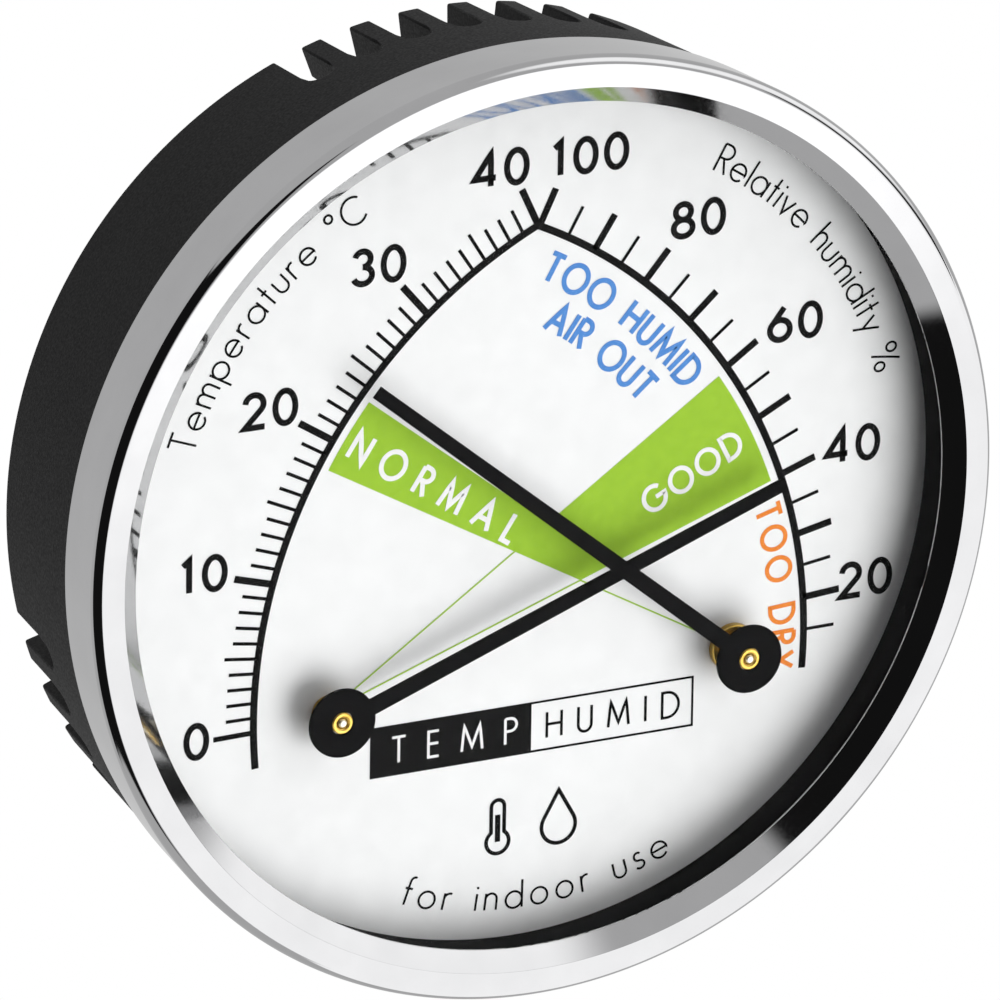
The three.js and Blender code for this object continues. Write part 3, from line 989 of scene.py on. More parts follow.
STEM = ((0, 0), (0, 1))
SHORT_STEM = ((0, 0), (0, 0.6))
BOWL = ring_of(0.3, 0.3, 0.3, 0.3)
ROUND_O = ring_of(0.46, 0.5, 0.46, 0.5)
HIGH_BOWL = ((0, 1), (0.2, 1), Arc(0.2, 0.75, 0.26, 0.25, 90, -90), (0, 0.5))
SHOULDER = (Arc(0.21, 0.39, 0.21, 0.21, 180, 0), (0.42, 0))

GLYPHS: dict[str, Glyph] = {
    " ": Glyph(0.3, ()),
    "0": Glyph(0.64, (ring_of(0.32, 0.5, 0.32, 0.5),)),
    "1": Glyph(0.42, (((0.08, 0.84), (0.28, 1), (0.28, 0)),)),
    "2": Glyph(0.62, ((Arc(0.31, 0.72, 0.29, 0.28, 175, -38), (0, 0), (0.64, 0)),)),
    "3": Glyph(0.6, ((Arc(0.29, 0.76, 0.25, 0.24, 165, -90),),
                     (Arc(0.29, 0.26, 0.3, 0.26, 90, -160),))),
    "4": Glyph(0.68, (((0.52, 0), (0.52, 1), (0, 0.25), (0.68, 0.25)),)),
    "6": Glyph(0.66, (ring_of(0.33, 0.31, 0.33, 0.31), ((0.46, 1), (0.055, 0.47)))),
    "8": Glyph(0.62, (ring_of(0.31, 0.76, 0.25, 0.24), ring_of(0.31, 0.26, 0.31, 0.26))),
    "%": Glyph(0.86, (ring_of(0.17, 0.8, 0.16, 0.19), ring_of(0.69, 0.2, 0.16, 0.19),
                      ((0.66, 1), (0.2, 0)))),
    "°": Glyph(0.3, (ring_of(0.15, 0.84, 0.14, 0.15),)),
    "A": Glyph(0.72, (((0, 0), (0.36, 1), (0.72, 0)), ((0.13, 0.35), (0.59, 0.35)))),
    "C": Glyph(0.82, ((Arc(0.46, 0.5, 0.46, 0.5, 45, 315),),)),
    "D": Glyph(0.68, (((0.2, 0), (0, 0), (0, 1), (0.2, 1), Arc(0.2, 0.5, 0.48, 0.5, 90, -90)),)),
    "E": Glyph(0.42, (((0.42, 1), (0, 1), (0, 0), (0.42, 0)), ((0, 0.52), (0.4, 0.52)))),
    "G": Glyph(0.9, ((Arc(0.46, 0.5, 0.46, 0.5, 45, 360), (0.52, 0.5)),)),
    "H": Glyph(0.6, (STEM, ((0.6, 0), (0.6, 1)), ((0, 0.52), (0.6, 0.52)))),
    "I": Glyph(0.0, (STEM,)),
    "L": Glyph(0.38, (((0, 1), (0, 0), (0.38, 0)),)),
    "M": Glyph(0.84, (((0, 0), (0.1, 1), (0.42, 0.14), (0.74, 1), (0.84, 0)),)),
    "N": Glyph(0.64, (((0, 0), (0, 1), (0.64, 0), (0.64, 1)),)),
    "O": Glyph(0.92, (ROUND_O,)),
    "P": Glyph(0.46, (STEM, HIGH_BOWL)),
    "R": Glyph(0.46, (STEM, HIGH_BOWL, ((0.18, 0.5), (0.46, 0)))),
    "T": Glyph(0.54, (((0, 1), (0.54, 1)), ((0.27, 1), (0.27, 0)))),
    "U": Glyph(0.54, (((0, 1), Arc(0.27, 0.28, 0.27, 0.28, 180, 360), (0.54, 1)),)),
    "Y": Glyph(0.6, (((0, 1), (0.3, 0.46), (0.6, 1)), ((0.3, 0.46), (0.3, 0)))),
    "a": Glyph(0.6, (BOWL, ((0.6, 0.6), (0.6, 0)))),
    "d": Glyph(0.6, (BOWL, ((0.6, 1), (0.6, 0)))),
    "e": Glyph(0.58, (((0, 0.31), (0.58, 0.31), Arc(0.29, 0.3, 0.29, 0.3, 0, 318)),)),
    "f": Glyph(0.28, ((Arc(0.27, 0.83, 0.15, 0.19, 70, 180), (0.12, 0)), ((0, 0.6), (0.28, 0.6)))),
    "h": Glyph(0.42, (STEM, SHOULDER)),
    "i": Glyph(0.0, (SHORT_STEM, ((0, 0.78), (0, 0.86)))),
    "l": Glyph(0.0, (STEM,)),
    "m": Glyph(0.76, (SHORT_STEM, (Arc(0.19, 0.4, 0.19, 0.2, 180, 0), (0.38, 0)),
                      (Arc(0.57, 0.4, 0.19, 0.2, 180, 0), (0.76, 0)))),
    "n": Glyph(0.42, (SHORT_STEM, SHOULDER)),
    "o": Glyph(0.6, (BOWL,)),
    "p": Glyph(0.6, (BOWL, ((0, 0.6), (0, -0.32)))),
    "r": Glyph(0.24, (SHORT_STEM, (Arc(0.2, 0.39, 0.2, 0.21, 180, 70),))),
    "s": Glyph(0.34, ((Arc(0.17, 0.45, 0.14, 0.15, 40, 270),
                       Arc(0.17, 0.15, 0.17, 0.15, 90, -145)),)),
    "t": Glyph(0.24, (((0.12, 0.92), (0.12, 0)), ((0, 0.6), (0.24, 0.6)))),
    "u": Glyph(0.44, (((0, 0.6), Arc(0.22, 0.22, 0.22, 0.22, 180, 360), (0.44, 0.6)),)),
    "v": Glyph(0.46, (((0, 0.6), (0.23, 0), (0.46, 0.6)),)),
    "y": Glyph(0.5, (((0, 0.6), (0.25, 0.02)), ((0.5, 0.6), (0.1, -0.32)))),
}

Placing = Callable[[np.ndarray, float], np.ndarray]


def along_line(x: float, z: float, slant: float = 0) -> Placing:
    """Place a text's middle at (x, z), on a straight line.

    Args:
        x: Middle of the text.
        z: Middle of the text, halfway up its capitals.
        slant: Angle of the line in degrees.

    Returns:
        A function from points over a baseline and the text's width to points on the dial.
    """
    cosine, sine = math.cos(math.radians(slant)), math.sin(math.radians(slant))

    def place(points: np.ndarray, width: float) -> np.ndarray:
        """Turn the points about the text's middle."""
        along = points[:, 0] - width / 2
        return np.column_stack([x + along * cosine - points[:, 1] * sine,
                                z + along * sine + points[:, 1] * cosine])

    return place


def along_arc(x: float, z: float, radius: float, middle: float, outward: bool = True) -> Placing:
    """Place a text on an arc, its middle at an angle.

    Args:
        x: Centre of the arc.
        z: Centre of the arc.
        radius: Radius halfway up the capitals.
        middle: Angle of the text's middle in degrees.
        outward: Whether the letters' tops point away from the centre.

    Returns:
        A function from points over a baseline and the text's width to points on the dial.
    """
    way = 1 if outward else -1

    def place(points: np.ndarray, width: float) -> np.ndarray:
        """Wrap the points round the centre: x turns the angle, y changes the radius."""
        angle = math.radians(middle) - way * (points[:, 0] - width / 2) / radius
        reach = radius + way * points[:, 1]
        return np.column_stack([x + reach * np.cos(angle), z + reach * np.sin(angle)])

    return place


def centre_line(stroke: Stroke) -> np.ndarray:
    """Return a stroke's points in order, with its arcs worked out."""
    parts = [item.points() if isinstance(item, Arc) else np.array([item], float)
             for item in stroke]
    line = np.concatenate(parts)
    keep = np.append(True, np.abs(np.diff(line, axis=0)).max(1) > 1e-6)
    return line[keep]


def fine_line(line: np.ndarray, pieces: int = 4) -> np.ndarray:
    """Split each leg of a line into equal pieces, so that it can bend round an arc."""
    share = np.arange(pieces)[:, None] / pieces
    legs = line[:-1, None, :] + (line[1:] - line[:-1])[:, None, :] * share[None]
    return np.concatenate([legs.reshape(-1, 2), line[-1:]])


# ------------------------------------------------------------------------------ dial print


@dataclass
class InkLayer:
    """Flat shapes of one ink, gathered and then made into one thin film."""

    ink: Ink
    height: float
    step: float = 0.0015
    steps: int = 7
    shapes: list[tuple[np.ndarray, np.ndarray]] = field(default_factory=list)

    def patch(self, grid: np.ndarray) -> None:
        """Add a patch from a (rows, columns, 2) grid of points, wound to face the reader."""
        rows, columns = grid.shape[:2]
        self.shapes.append((grid.reshape(-1, 2), grid_faces(rows, columns, False, False)))

    def line(self, points: np.ndarray, width: float, limit: float = 2.4) -> None:
        """Add a line of even width.

        Each point moves sideways by half the width along the mean of its legs' normals, made
        longer by the cosine of half the bend so that the legs keep their width.

        Args:
            points: (count, 2) array.
            width: Width of the line.
            limit: Most that a corner may stretch the width.
        """
        legs = unit(np.diff(points, axis=0))
        normals = np.column_stack([-legs[:, 1], legs[:, 0]])
        ends = np.concatenate([normals[:1], normals]), np.concatenate([normals, normals[-1:]])
        if np.allclose(points[0], points[-1]):
            ends[0][0], ends[1][-1] = normals[-1], normals[0]
        mean = unit(ends[0] + ends[1] + 1e-9)
        stretch = np.minimum(1 / np.maximum((mean * ends[0]).sum(1), 0.05), limit)
        side = mean * (stretch * width / 2)[:, None]
        self.patch(np.stack([points + side, points - side], 1))

    def text(self, words: str, height: float, width: float, placing: Placing,
             length: float | None = None, gap: float = 0.17) -> None:
        """Add a line of lettering.

        Args:
            words: Text.
            height: Height of the capitals, outside to outside.
            width: Width of the strokes.
            placing: Where the text goes.
            length: Length to fill by spacing the letters, or None for the plain gap.
            gap: Gap between letters, as a share of their height.
        """
        size = height - width
        glyphs = [GLYPHS[letter] for letter in words]
        own = sum(glyph.width for glyph in glyphs) * size
        space = gap * size + width
        if length is not None:
            space = (length - own) / (len(glyphs) - 1)
        total = own + space * (len(glyphs) - 1)
        start = 0.0
        for glyph in glyphs:
            for stroke in glyph.strokes:
                points = fine_line(centre_line(stroke)) * size + [start, -size / 2]
                self.line(placing(points, total), width)
            start += glyph.width * size + space

    def build(self, dial_front: float, thickness: float) -> bpy.types.Object:
        """Make the film, with crossing strokes a hair apart in height so that none coincide.

        Args:
            dial_front: Y of the dial's face.
            thickness: Thickness of the dried ink.

        Returns:
            The film, as one object.
        """
        counts = np.cumsum([0] + [len(points) for points, _ in self.shapes])
        flat = np.concatenate([points for points, _ in self.shapes])
        quads = np.concatenate([faces + count for (_, faces), count in zip(self.shapes, counts)])
        turn = np.repeat(np.arange(len(self.shapes)), np.diff(counts))
        y = dial_front - self.height - self.step * (turn % self.steps)
        vertices = np.column_stack([flat[:, 0], y, flat[:, 1]])
        film = make_object(f"print_{self.ink.name.lower()}", vertices, quads.tolist())
        film.data.shade_flat()
        solid = film.modifiers.new("Film", "SOLIDIFY")
        solid.thickness = thickness * MM
        solid.offset = -1
        return film


def polar(x: float, z: float, radius: object, degrees: object) -> np.ndarray:
    """Return points at radii and angles about (x, z)."""
    angle = np.radians(np.asarray(degrees, float))
    radius = np.asarray(radius, float)
    return np.stack([x + radius * np.cos(angle), z + radius * np.sin(angle)], -1)


@dataclass
class DialPrint:
    """Everything printed on the dial. Places are counted from the print's own centre."""

    pivot_drop: float = 17.28
    arc_radius: float = 54.6
    apex_angle: float = 115.0
    arc_width: float = 0.8
    thin_tick: float = 0.36
    thick_tick: float = 0.76
    medium_tick: float = 0.56
    temperature_zero: float = 181.0
    temperature_step: float = -1.687
    temperature_reaches: tuple[float, float, float] = (57.7, 58.4, 59.1)
    humidity_zero: float = -10.75
    humidity_step: float = 0.755
    humidity_reaches: tuple[float, float] = (58.1, 58.8)
    numeral_height: float = 4.15
    numeral_stroke: float = 0.66
    caption_height: float = 3.3
    caption_stroke: float = 0.245
    caption_radius: float = 42.1
    rule_width: float = 0.24
    emblem_z: float = -33.2
    emblem_stroke: float = 0.42
    zone_reach: float = 53.4
    zone_steps: int = 13
    guide_width: float = 0.16
    film: float = 0.012

    def build(self) -> None:
        """Lay out every ink and make the films."""
        dial = Span.of("dial_plate")
        right, left = Span.of("thermometer_arbor"), Span.of("hygrometer_arbor")
        self.right, self.left = (right.x, right.z), (left.x, left.z)
        self.x, self.z = (right.x + left.x) / 2, (right.z + left.z) / 2 + self.pivot_drop
        black = InkLayer(Ink.BLACK, 0.03)
        green = InkLayer(Ink.GREEN, 0.03)
        blue = InkLayer(Ink.BLUE, 0.03)
        orange = InkLayer(Ink.ORANGE, 0.03)
        white = InkLayer(Ink.WHITE, 0.055)
        self.scales(black)
        self.numerals(black)
        self.captions(black)
        self.badge(black, white)
        self.emblem(black)
        self.zones(green, white)
        self.warnings(blue, orange)
        for layer in (green, blue, orange, black, white):
            film = layer.build(dial.front, self.film)
            dress(film, layer.ink.finish().build())
            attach(film, body_of("dial_plate"))
            LOG.info("%s holds %d shapes", film.name, len(layer.shapes))

    def at(self, x: float, z: float) -> tuple[float, float]:
        """Turn a place on the print into a place in the frame."""
        return self.x + x, self.z + z

    def scales(self, black: InkLayer) -> None:
        """Draw both scale lines, each an arc about the pivot across from it, and their ticks."""
        black.line(polar(*self.right, self.arc_radius, np.linspace(self.apex_angle, 185.2, 90)),
                   self.arc_width)
        black.line(polar(*self.left, self.arc_radius, np.linspace(65.0, -3.9, 90)),
                   self.arc_width)
        for degree in [*range(39), 40]:
            short, middle, long = self.temperature_reaches
            reach, width = middle if degree % 5 == 0 else short, self.thin_tick
            if degree % 10 == 0:
                reach, width = long, self.thick_tick if degree else self.medium_tick
            angle = max(self.temperature_zero + self.temperature_step * degree, self.apex_angle)
            self.tick(black, self.right, angle, reach, width)
        for percent in range(15, 101, 5):
            thick = percent % 10 == 0
            angle = self.humidity_zero + self.humidity_step * percent
            self.tick(black, self.left, angle, self.humidity_reaches[thick],
                      self.thick_tick if thick else self.thin_tick)

    def tick(self, layer: InkLayer, pivot: tuple[float, float], angle: float, reach: float,
             width: float) -> None:
        """Draw one tick from the scale line outwards."""
        layer.line(polar(*pivot, [self.arc_radius, reach], [angle, angle]), width)

    def numerals(self, black: InkLayer) -> None:
        """Set the numbers upright beside their ticks."""
        places = [("0", -37.9, -18.2), ("10", -37.3, -0.1), ("20", -29.9, 16.7),
                  ("30", -17.9, 30.4), ("40", -4.3, 38.9), ("100", 5.7, 39.0),
                  ("80", 18.3, 30.4), ("60", 29.7, 17.5), ("40", 36.7, 3.0),
                  ("20", 38.6, -12.1)]
        for words, x, z in places:
            black.text(words, self.numeral_height, self.numeral_stroke,
                       along_line(*self.at(x, z)))

    def captions(self, black: InkLayer) -> None:
        """Set the three thin captions on arcs about the print's centre."""
        centre = self.at(0, 0)
        for words, placing, length in (
            ("Temperature °C", along_arc(*centre, self.caption_radius, 139.5), 31.6),
            ("Relative humidity %", along_arc(*centre, self.caption_radius, 37.8), 33.6),
            ("for indoor use", along_arc(*centre, 41.0, -88.8, outward=False), 30.6),
        ):
            black.text(words, self.caption_height, self.caption_stroke, placing, length)

    def badge(self, black: InkLayer, white: InkLayer) -> None:
        """Draw the two-part box: its left half solid with light letters, its right half open."""
        left, right, low, high = -18.3, 18.8, -25.5, -19.9
        middle = 0.1
        corner = self.at(left, low)
        top = self.at(middle, high)
        black.patch(np.array([[[corner[0], top[1]], [corner[0], corner[1]]],
                              [[top[0], top[1]], [top[0], corner[1]]]]))
        inset = self.rule_width / 2
        frame_line = np.array([self.at(middle, high - inset), self.at(right - inset, high - inset),
                               self.at(right - inset, low + inset), self.at(middle, low + inset)])
        black.line(frame_line, self.rule_width)
        height = (low + high) / 2
        white.text("TEMP", 3.1, 0.3, along_line(*self.at(-8.7, height)), length=14.2)
        black.text("HUMID", 3.1, 0.3, along_line(*self.at(9.5, height)), length=15.2)

    def emblem(self, black: InkLayer) -> None:
        """Draw a plain thermometer and a plain drop side by side."""
        stem = along_line(*self.at(-3.6, self.emblem_z))
        thermometer = (Arc(0, 2.3, 0.75, 0.75, 0, 180), Arc(0, -1.6, 1.3, 1.3, 125, 415),
                       (0.75, 2.3))
        black.line(stem(centre_line(thermometer), 0), self.emblem_stroke)
        black.line(stem(np.array([[0, -1.6], [0, 1.4]]), 0), 0.6)
        drop = (Arc(0, -0.9, 1.95, 1.95, -205, 25), (0, 3.05), (-1.77, -0.076))
        droplet = along_line(*self.at(3.4, self.emblem_z))
        black.line(droplet(centre_line(drop), 0), self.emblem_stroke)

    def zones(self, green: InkLayer, white: InkLayer) -> None:
        """Draw the two green zones as one shape, their thin guide lines, and their words.

        Each zone is a wedge about its pivot. The wedges cross, and each is solid from the scale
        to the other's far side: both are ruled from their outer arc to the line between the two
        crossings of their edges.
        """
        comfort, ideal = (141.7, 150.4), (34.3, 19.3)
        above = crossing(self.right, comfort[0], self.left, ideal[0])
        below = crossing(self.right, comfort[1], self.left, ideal[1])
        share = np.linspace(0, 1, self.zone_steps)[:, None]
        seam = above + (below - above) * share
        left_arc, right_arc = (
            polar(*pivot, self.zone_reach, np.linspace(*edges, self.zone_steps))
            for pivot, edges in ((self.right, comfort), (self.left, ideal)))
        green.patch(np.stack([left_arc, seam], 0))
        green.patch(np.stack([seam, right_arc], 0))
        for pivot, other, edges, others in ((self.left, self.right, ideal, comfort),
                                            (self.right, self.left, comfort, ideal)):
            for edge in edges:
                start = crossing(pivot, edge, other, others[1])
                green.line(np.array([start, pivot]), self.guide_width)
        white.text("NORMAL", 3.5, 0.54, along_line(*self.at(-11.2, 5.4), -33.5), length=22.2)
        white.text("GOOD", 3.2, 0.5, along_line(*self.at(18.1, 2.7), 27), length=12.0)

    def warnings(self, blue: InkLayer, orange: InkLayer) -> None:
        """Set the words for damp air above the right zone, and for dry air below it."""
        blue.text("TOO HUMID", 3.5, 0.55, along_arc(*self.left, 51.1, 49.0), length=22.6)
        blue.text("AIR OUT", 3.5, 0.55, along_arc(*self.left, 46.6, 48.7), length=15.0)
        orange.text("TOO DRY", 3.2, 0.48, along_arc(*self.left, 52.1, 6.5), length=18.4)


def crossing(start: tuple[float, float], heading: float, other: tuple[float, float],
             other_heading: float) -> np.ndarray:
    """Return where two lines cross, each given by a point and an angle in degrees."""
    first, second = (np.array([math.cos(math.radians(a)), math.sin(math.radians(a))])
                     for a in (heading, other_heading))
    gap = np.subtract(other, start)
    area = first[0] * second[1] - first[1] * second[0]
    reach = (gap[0] * second[1] - gap[1] * second[0]) / area
    return np.array(start) + first * reach


# ------------------------------------------------------------------------------ movements


@dataclass
class Movement:
    """Pointer, arbor, bushes and coil about one pivot."""

    name: str
    pointer_angle: float
    pointer_length: float
    strip: Finish
    strip_slot: str
    hub_radius: float = 3.72
    hub_width: float = 1.8
    tip_width: float = 1.42
    hole_radius: float = 1.23
    dome_share: float = 0.55
    arbor_bore: float = 0.53
    bush_bore: float = 0.55
    bush_radius: float = 1.6
    flange_height: float = 0.9
    coil_thickness: float = 0.3
    coil_inner: float = 1.75
    coil_outer: float = 8.2
    coil_turns: float = 4.5
    coil_steps_per_turn: int = 64
    hub_steps: int = 120
    pointer_edge: float = 0.035
    coil_edge: float = 0.03

    def build(self) -> None:
        """Build the movement's pointer and every turned or wound piece."""
        self.axis = Span.of(self.node("arbor"))
        self.brass = BarMetal.BRASS.finish(self.name, self.axis).build()
        self.steel = BarMetal.STEEL.finish(self.name, self.axis).build()
        self.pointer()
        self.arbor()
        self.sleeve("pointer_collet", 0.24, 0.36)
        self.sleeve("coil_collet", 0.08, 0.05)
        self.front_bush()
        self.coil()

    def node(self, piece: str) -> str:
        """Return the CAD node's name of one of the movement's pieces."""
        return f"{self.name}_{piece}"

    def turn(self, label: str, piece: str, slot: str, finish: bpy.types.Material,
             corners: Sequence[Sequence[float]], closed: bool = True) -> None:
        """Turn one small piece about the pivot and let it stand for its node."""
        turned_stand_in(f"{self.name}_{label}", self.node(piece), finish, self.axis, corners,
                        closed, SMALL_ROUND_STEPS)

    def pointer(self) -> None:
        """Build the pointer as a ring of quads from its hole to its outline, on both faces.

        The outline is the hub's circle except across the blade, whose sides run straight from
        the hub to the square tip. Each outline point joins the hole's point at its own share.
        """
        span = Span.of(self.node("pointer"))
        root = math.asin(self.hub_width / 2 / self.hub_radius)
        angle = np.linspace(root, 2 * math.pi - root, self.hub_steps)
        hub = polar(0, 0, self.hub_radius, np.degrees(angle))
        tip = np.array([[self.pointer_length, -self.tip_width / 2],
                        [self.pointer_length, self.tip_width / 2]])
        outline = np.concatenate([hub, tip])
        around = np.concatenate([angle, [-root / 2, root / 2]])
        hole = polar(0, 0, self.hole_radius, np.degrees(around))
        section = np.stack([hole, outline, outline, hole], 1)
        y = np.array([span.front, span.front, span.rear, span.rear])[None, :] + 0 * section[..., 0]
        spin = math.radians(self.pointer_angle)
        x = section[..., 0] * math.cos(spin) - section[..., 1] * math.sin(spin) + self.axis.x
        z = section[..., 0] * math.sin(spin) + section[..., 1] * math.cos(spin) + self.axis.z
        points = np.stack([x, y, z], -1)
        faces = grid_faces(*x.shape, True, True).tolist()
        hand = make_object(f"{self.name}_hand", points.reshape(-1, 3), faces)
        add_bevel(hand, self.pointer_edge)
        stand_for(hand, [self.node("pointer")], POINTER_LACQUER.build())

    def arbor(self) -> None:
        """Turn the arbor with a domed front end."""
        span = self.axis
        self.turn("shaft", "arbor", "steel", self.steel, [
            (0, span.front, 0),
            (span.radius, span.front, span.radius * self.dome_share),
            (span.radius, span.rear, 0.1),
            (0, span.rear, 0),
        ], closed=False)

    def sleeve(self, piece: str, edge: float, mouth: float) -> None:
        """Turn a sleeve on the arbor, with its outer edges and its bore's mouth rounded."""
        span = Span.of(self.node(piece))
        self.turn(f"{piece}_turned", piece, "brass", self.brass, [
            (span.radius, span.front, edge),
            (span.radius, span.rear, edge),
            (self.arbor_bore, span.rear, 0.05),
            (self.arbor_bore, span.front, mouth),
        ])

    def front_bush(self) -> None:
        """Turn the flanged bush that fixes the movement to the dial."""
        span = Span.of(self.node("front_bush"))
        seat = span.front + self.flange_height
        self.turn("bush", "front_bush", "brass", self.brass, [
            (span.radius, span.front, 0.2),
            (span.radius, seat, 0.05),
            (self.bush_radius, seat, 0.03),
            (self.bush_radius, span.rear, 0.12),
            (self.bush_bore, span.rear, 0.05),
            (self.bush_bore, span.front, 0.05),
        ])

    def coil(self) -> None:
        """Wind the strip: a flat section carried along a spiral.

        The spiral's radius grows evenly with its angle, from the collet out to the post straight
        below the pivot. The section stands square to the spiral and runs the strip's width in Y.
        """
        span = Span.of(self.node("coil"))
        steps = round(self.coil_turns * self.coil_steps_per_turn)
        share = np.linspace(0, 1, steps + 1)[:, None]
        angle = -math.pi / 2 - 2 * math.pi * self.coil_turns * (1 - share)
        radius = self.coil_inner + (self.coil_outer - self.coil_inner) * share
        half = self.coil_thickness / 2
        offset = np.array([[half, half, -half, -half]])
        y = np.array([[span.front, span.rear, span.rear, span.front]]) + 0 * radius
        reach = radius + offset
        points = np.stack([self.axis.x + reach * np.cos(angle), y,
                           self.axis.z + reach * np.sin(angle)], -1)
        faces = grid_faces(steps + 1, 4, False, True).tolist()
        last = steps * 4
        faces += [[3, 2, 1, 0], [last, last + 1, last + 2, last + 3]]
        coil = make_object(f"{self.name}_strip", points.reshape(-1, 3), faces)
        add_bevel(coil, self.coil_edge)
        stand_for(coil, [self.node("coil")], self.strip.build())


def dress_kept_nodes(finishes: dict[str, bpy.types.Material]) -> None:
    """Give the CAD nodes that stay their finished materials.

    Args:
        finishes: Material for each kept node.
    """
    for node, finish in finishes.items():
        dress(frame["nodes"][node], finish)
        LOG.info("%s keeps its CAD shape, in %s", node, finish.name)


# ------------------------------------------------------------------------------ studio


@dataclass(frozen=True)
class RoomPatch:
    """Round patch of the room: its direction, half angle, soft edge in degrees, and brightness."""

    direction: tuple[float, float, float]
    reach: float
    strength: float
    edge: float = 2.0


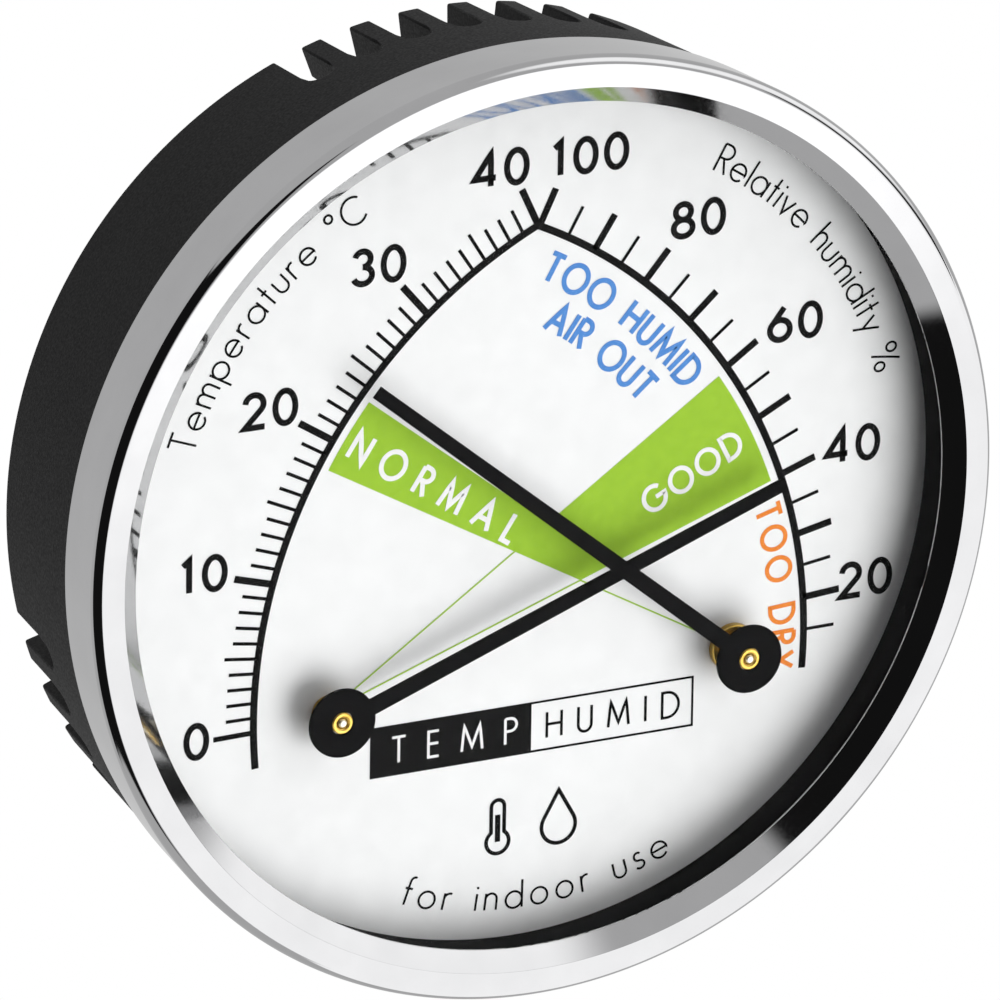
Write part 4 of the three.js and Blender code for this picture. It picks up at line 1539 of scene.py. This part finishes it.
@dataclass
class Studio:
    """Camera, plain pale floor and soft light. Lengths are metres, angles degrees.

    The room is pale grey, with a dark box of directions behind the reader's left shoulder, bright
    panels for the ring's face and lower bevel, and one dark flag for its upper corner.
    """

    azimuth: float = 26.13
    elevation: float = 20.53
    roll: float = 0.82
    distance: float = 1.34
    focal_length: float = 468.0
    sensor_width: float = 36.0
    clip_end: float = 100.0
    aim: tuple[float, float, float] = (0.0016, -0.0126, -0.0017)
    floor_drop: float = 0.8
    floor_size: float = 14.0
    grey: float = 0.66
    dark: float = 0.01
    dark_edges: tuple[tuple[str, float, float], ...] = (
        ("X", -0.06, -0.12), ("Y", 0.34, 0.28), ("Z", 0.69, 0.65), ("Z", -0.76, -0.71))
    patches: tuple[RoomPatch, ...] = (
        RoomPatch((0.45, -0.40, -0.80), 20, 1.64),
        RoomPatch((0.85, -0.36, -0.38), 20, 1.64),
        RoomPatch((0.41, -0.84, -0.35), 26, 1.64),
        RoomPatch((0.41, -0.89, -0.17), 1, 2.1, 16),
        RoomPatch((0.87, -0.48, 0.10), 13, 0.02),
        RoomPatch((0.90, -0.20, 0.38), 12, 1.6, 14),
        RoomPatch((0.60, -0.40, 0.70), 12, 1.6, 14),
    )

    def build(self) -> None:
        """Set up the whole studio."""
        self.camera()
        self.floor()
        self.world()
        self.softbox("key_softbox", (0.45, -0.84, -0.35), 0.85, 0.8, 2.1)
        bpy.context.scene.view_settings.view_transform = "Standard"

    def camera(self) -> None:
        """Place the camera by its azimuth from +Y, its downward tilt and its small roll."""
        azimuth, tilt, roll = (math.radians(a) for a in (self.azimuth, self.elevation, self.roll))
        forward = Vector((math.sin(azimuth) * math.cos(tilt), math.cos(azimuth) * math.cos(tilt),
                          -math.sin(tilt)))
        level = Vector((math.cos(azimuth), -math.sin(azimuth), 0))
        upright = level.cross(forward)
        right = level * math.cos(roll) + upright * math.sin(roll)
        up = upright * math.cos(roll) - level * math.sin(roll)
        data = bpy.data.cameras.new("camera")
        data.lens = self.focal_length
        data.sensor_width = self.sensor_width
        data.clip_end = self.clip_end
        camera = add_object("camera", data)
        place = Matrix((right, up, -forward)).transposed().to_4x4()
        place.translation = Vector(self.aim) - forward * self.distance
        camera.matrix_world = place
        bpy.context.scene.camera = camera

    def floor(self) -> None:
        """Lay a plain pale floor well below the object; mirrors don't show it."""
        half = self.floor_size / 2
        mesh = bpy.data.meshes.new("floor")
        corners = [(-half, -half, -self.floor_drop), (half, -half, -self.floor_drop),
                   (half, half, -self.floor_drop), (-half, half, -self.floor_drop)]
        mesh.from_pydata(corners, [], [(0, 1, 2, 3)])
        floor = add_object("floor", mesh)
        material = bpy.data.materials.new("floor_pale")
        material.use_nodes = True
        tree = material.node_tree
        tree.nodes.clear()
        glow = add_node(tree, "ShaderNodeEmission", {"Color": (1, 1, 1, 1), "Strength": 1.0})
        add_node(tree, "ShaderNodeOutputMaterial", {"Surface": glow.outputs["Emission"]})
        mesh.materials.append(material)
        floor.visible_glossy = False
        floor.visible_diffuse = False

    def world(self) -> None:
        """Light the room by direction: grey, the dark box, and then each patch over the last."""
        world = bpy.data.worlds.new("studio")
        bpy.context.scene.world = world
        world.use_nodes = True
        tree = world.node_tree
        tree.nodes.clear()
        toward = add_node(tree, "ShaderNodeTexCoord").outputs["Generated"]
        parts = add_node(tree, "ShaderNodeSeparateXYZ", {0: toward}).outputs
        strength = add_node(tree, "ShaderNodeValue").outputs[0]
        strength.default_value = self.grey
        inside = add_node(tree, "ShaderNodeValue").outputs[0]
        inside.default_value = 1.0
        for axis, outer, inner in self.dark_edges:
            side = add_node(tree, "ShaderNodeMapRange", {
                "Value": parts[axis], "From Min": outer, "From Max": inner},
                interpolation_type="SMOOTHSTEP").outputs["Result"]
            inside = add_node(tree, "ShaderNodeMath", {0: inside, 1: side},
                              operation="MULTIPLY").outputs[0]
        strength = add_node(tree, "ShaderNodeMix",
                            {0: inside, 2: strength, 3: self.dark}).outputs[0]
        for patch in self.patches:
            middle = Vector(patch.direction).normalized()
            nearness = add_node(tree, "ShaderNodeVectorMath", {0: toward, 1: middle},
                                operation="DOT_PRODUCT").outputs["Value"]
            inside = add_node(tree, "ShaderNodeMapRange", {
                "Value": nearness, "From Min": math.cos(math.radians(patch.reach + patch.edge)),
                "From Max": math.cos(math.radians(patch.reach))},
                interpolation_type="SMOOTHSTEP").outputs["Result"]
            strength = add_node(tree, "ShaderNodeMix",
                                {0: inside, 2: strength, 3: patch.strength}).outputs[0]
        path = add_node(tree, "ShaderNodeLightPath")
        seen = add_node(tree, "ShaderNodeMath", {0: path.outputs["Is Camera Ray"], 1: strength},
                        operation="MAXIMUM")
        sky = add_node(tree, "ShaderNodeBackground", {
            "Color": (1, 1, 1, 1), "Strength": seen.outputs[0]})
        add_node(tree, "ShaderNodeOutputWorld", {"Surface": sky.outputs["Background"]})

    def softbox(self, name: str, direction: tuple[float, float, float], distance: float,
                size: float, radiance: float) -> None:
        """Hang a square softbox that faces the object.

        Args:
            name: Name of the lamp.
            direction: Direction from the object to the lamp.
            distance: Distance from the object.
            size: Side of the square.
            radiance: Brightness of its face.
        """
        data = bpy.data.lights.new(name, "AREA")
        data.shape = "SQUARE"
        data.size = size
        data.energy = radiance * math.pi * size * size
        lamp = add_object(name, data)
        way = Vector(direction).normalized()
        lamp.matrix_world = Matrix.Translation(way * distance) @ way.to_track_quat(
            "Z", "Y").to_matrix().to_4x4()
        lamp.visible_camera = False
        lamp.visible_glossy = False


# ------------------------------------------------------------------------------ whole object


def main() -> None:
    """Build the object's looks and the studio, in order."""
    logging.basicConfig(level=logging.INFO, format="%(name)s: %(message)s")
    plastic = CASE_PLASTIC.build()
    RearCase().build(plastic)
    BezelRing().build()
    Lens().build()
    SpacerRing().build(SHADED_SPACER_PLASTIC.build())
    DialPrint().build()
    thermometer = Movement("thermometer", 140.3, 55.8, BIMETAL, "bimetal")
    hygrometer = Movement("hygrometer", 20.2, 53.7, HUMIDITY_STRIP, "humidity_strip")
    thermometer.build()
    hygrometer.build()
    steel_sheet = STEEL_SHEET.build()
    dress_kept_nodes({
        "dial_plate": DIAL_LACQUER.build(),
        "thermometer_frame": steel_sheet,
        "hygrometer_frame": steel_sheet,
        "thermometer_bush_nut": thermometer.brass,
        "hygrometer_bush_nut": hygrometer.brass,
        "thermometer_rear_bush": thermometer.brass,
        "thermometer_coil_post": thermometer.brass,
        "hygrometer_adjuster": hygrometer.brass,
    })
    Studio().build()


if __name__ == "__main__":
    main()
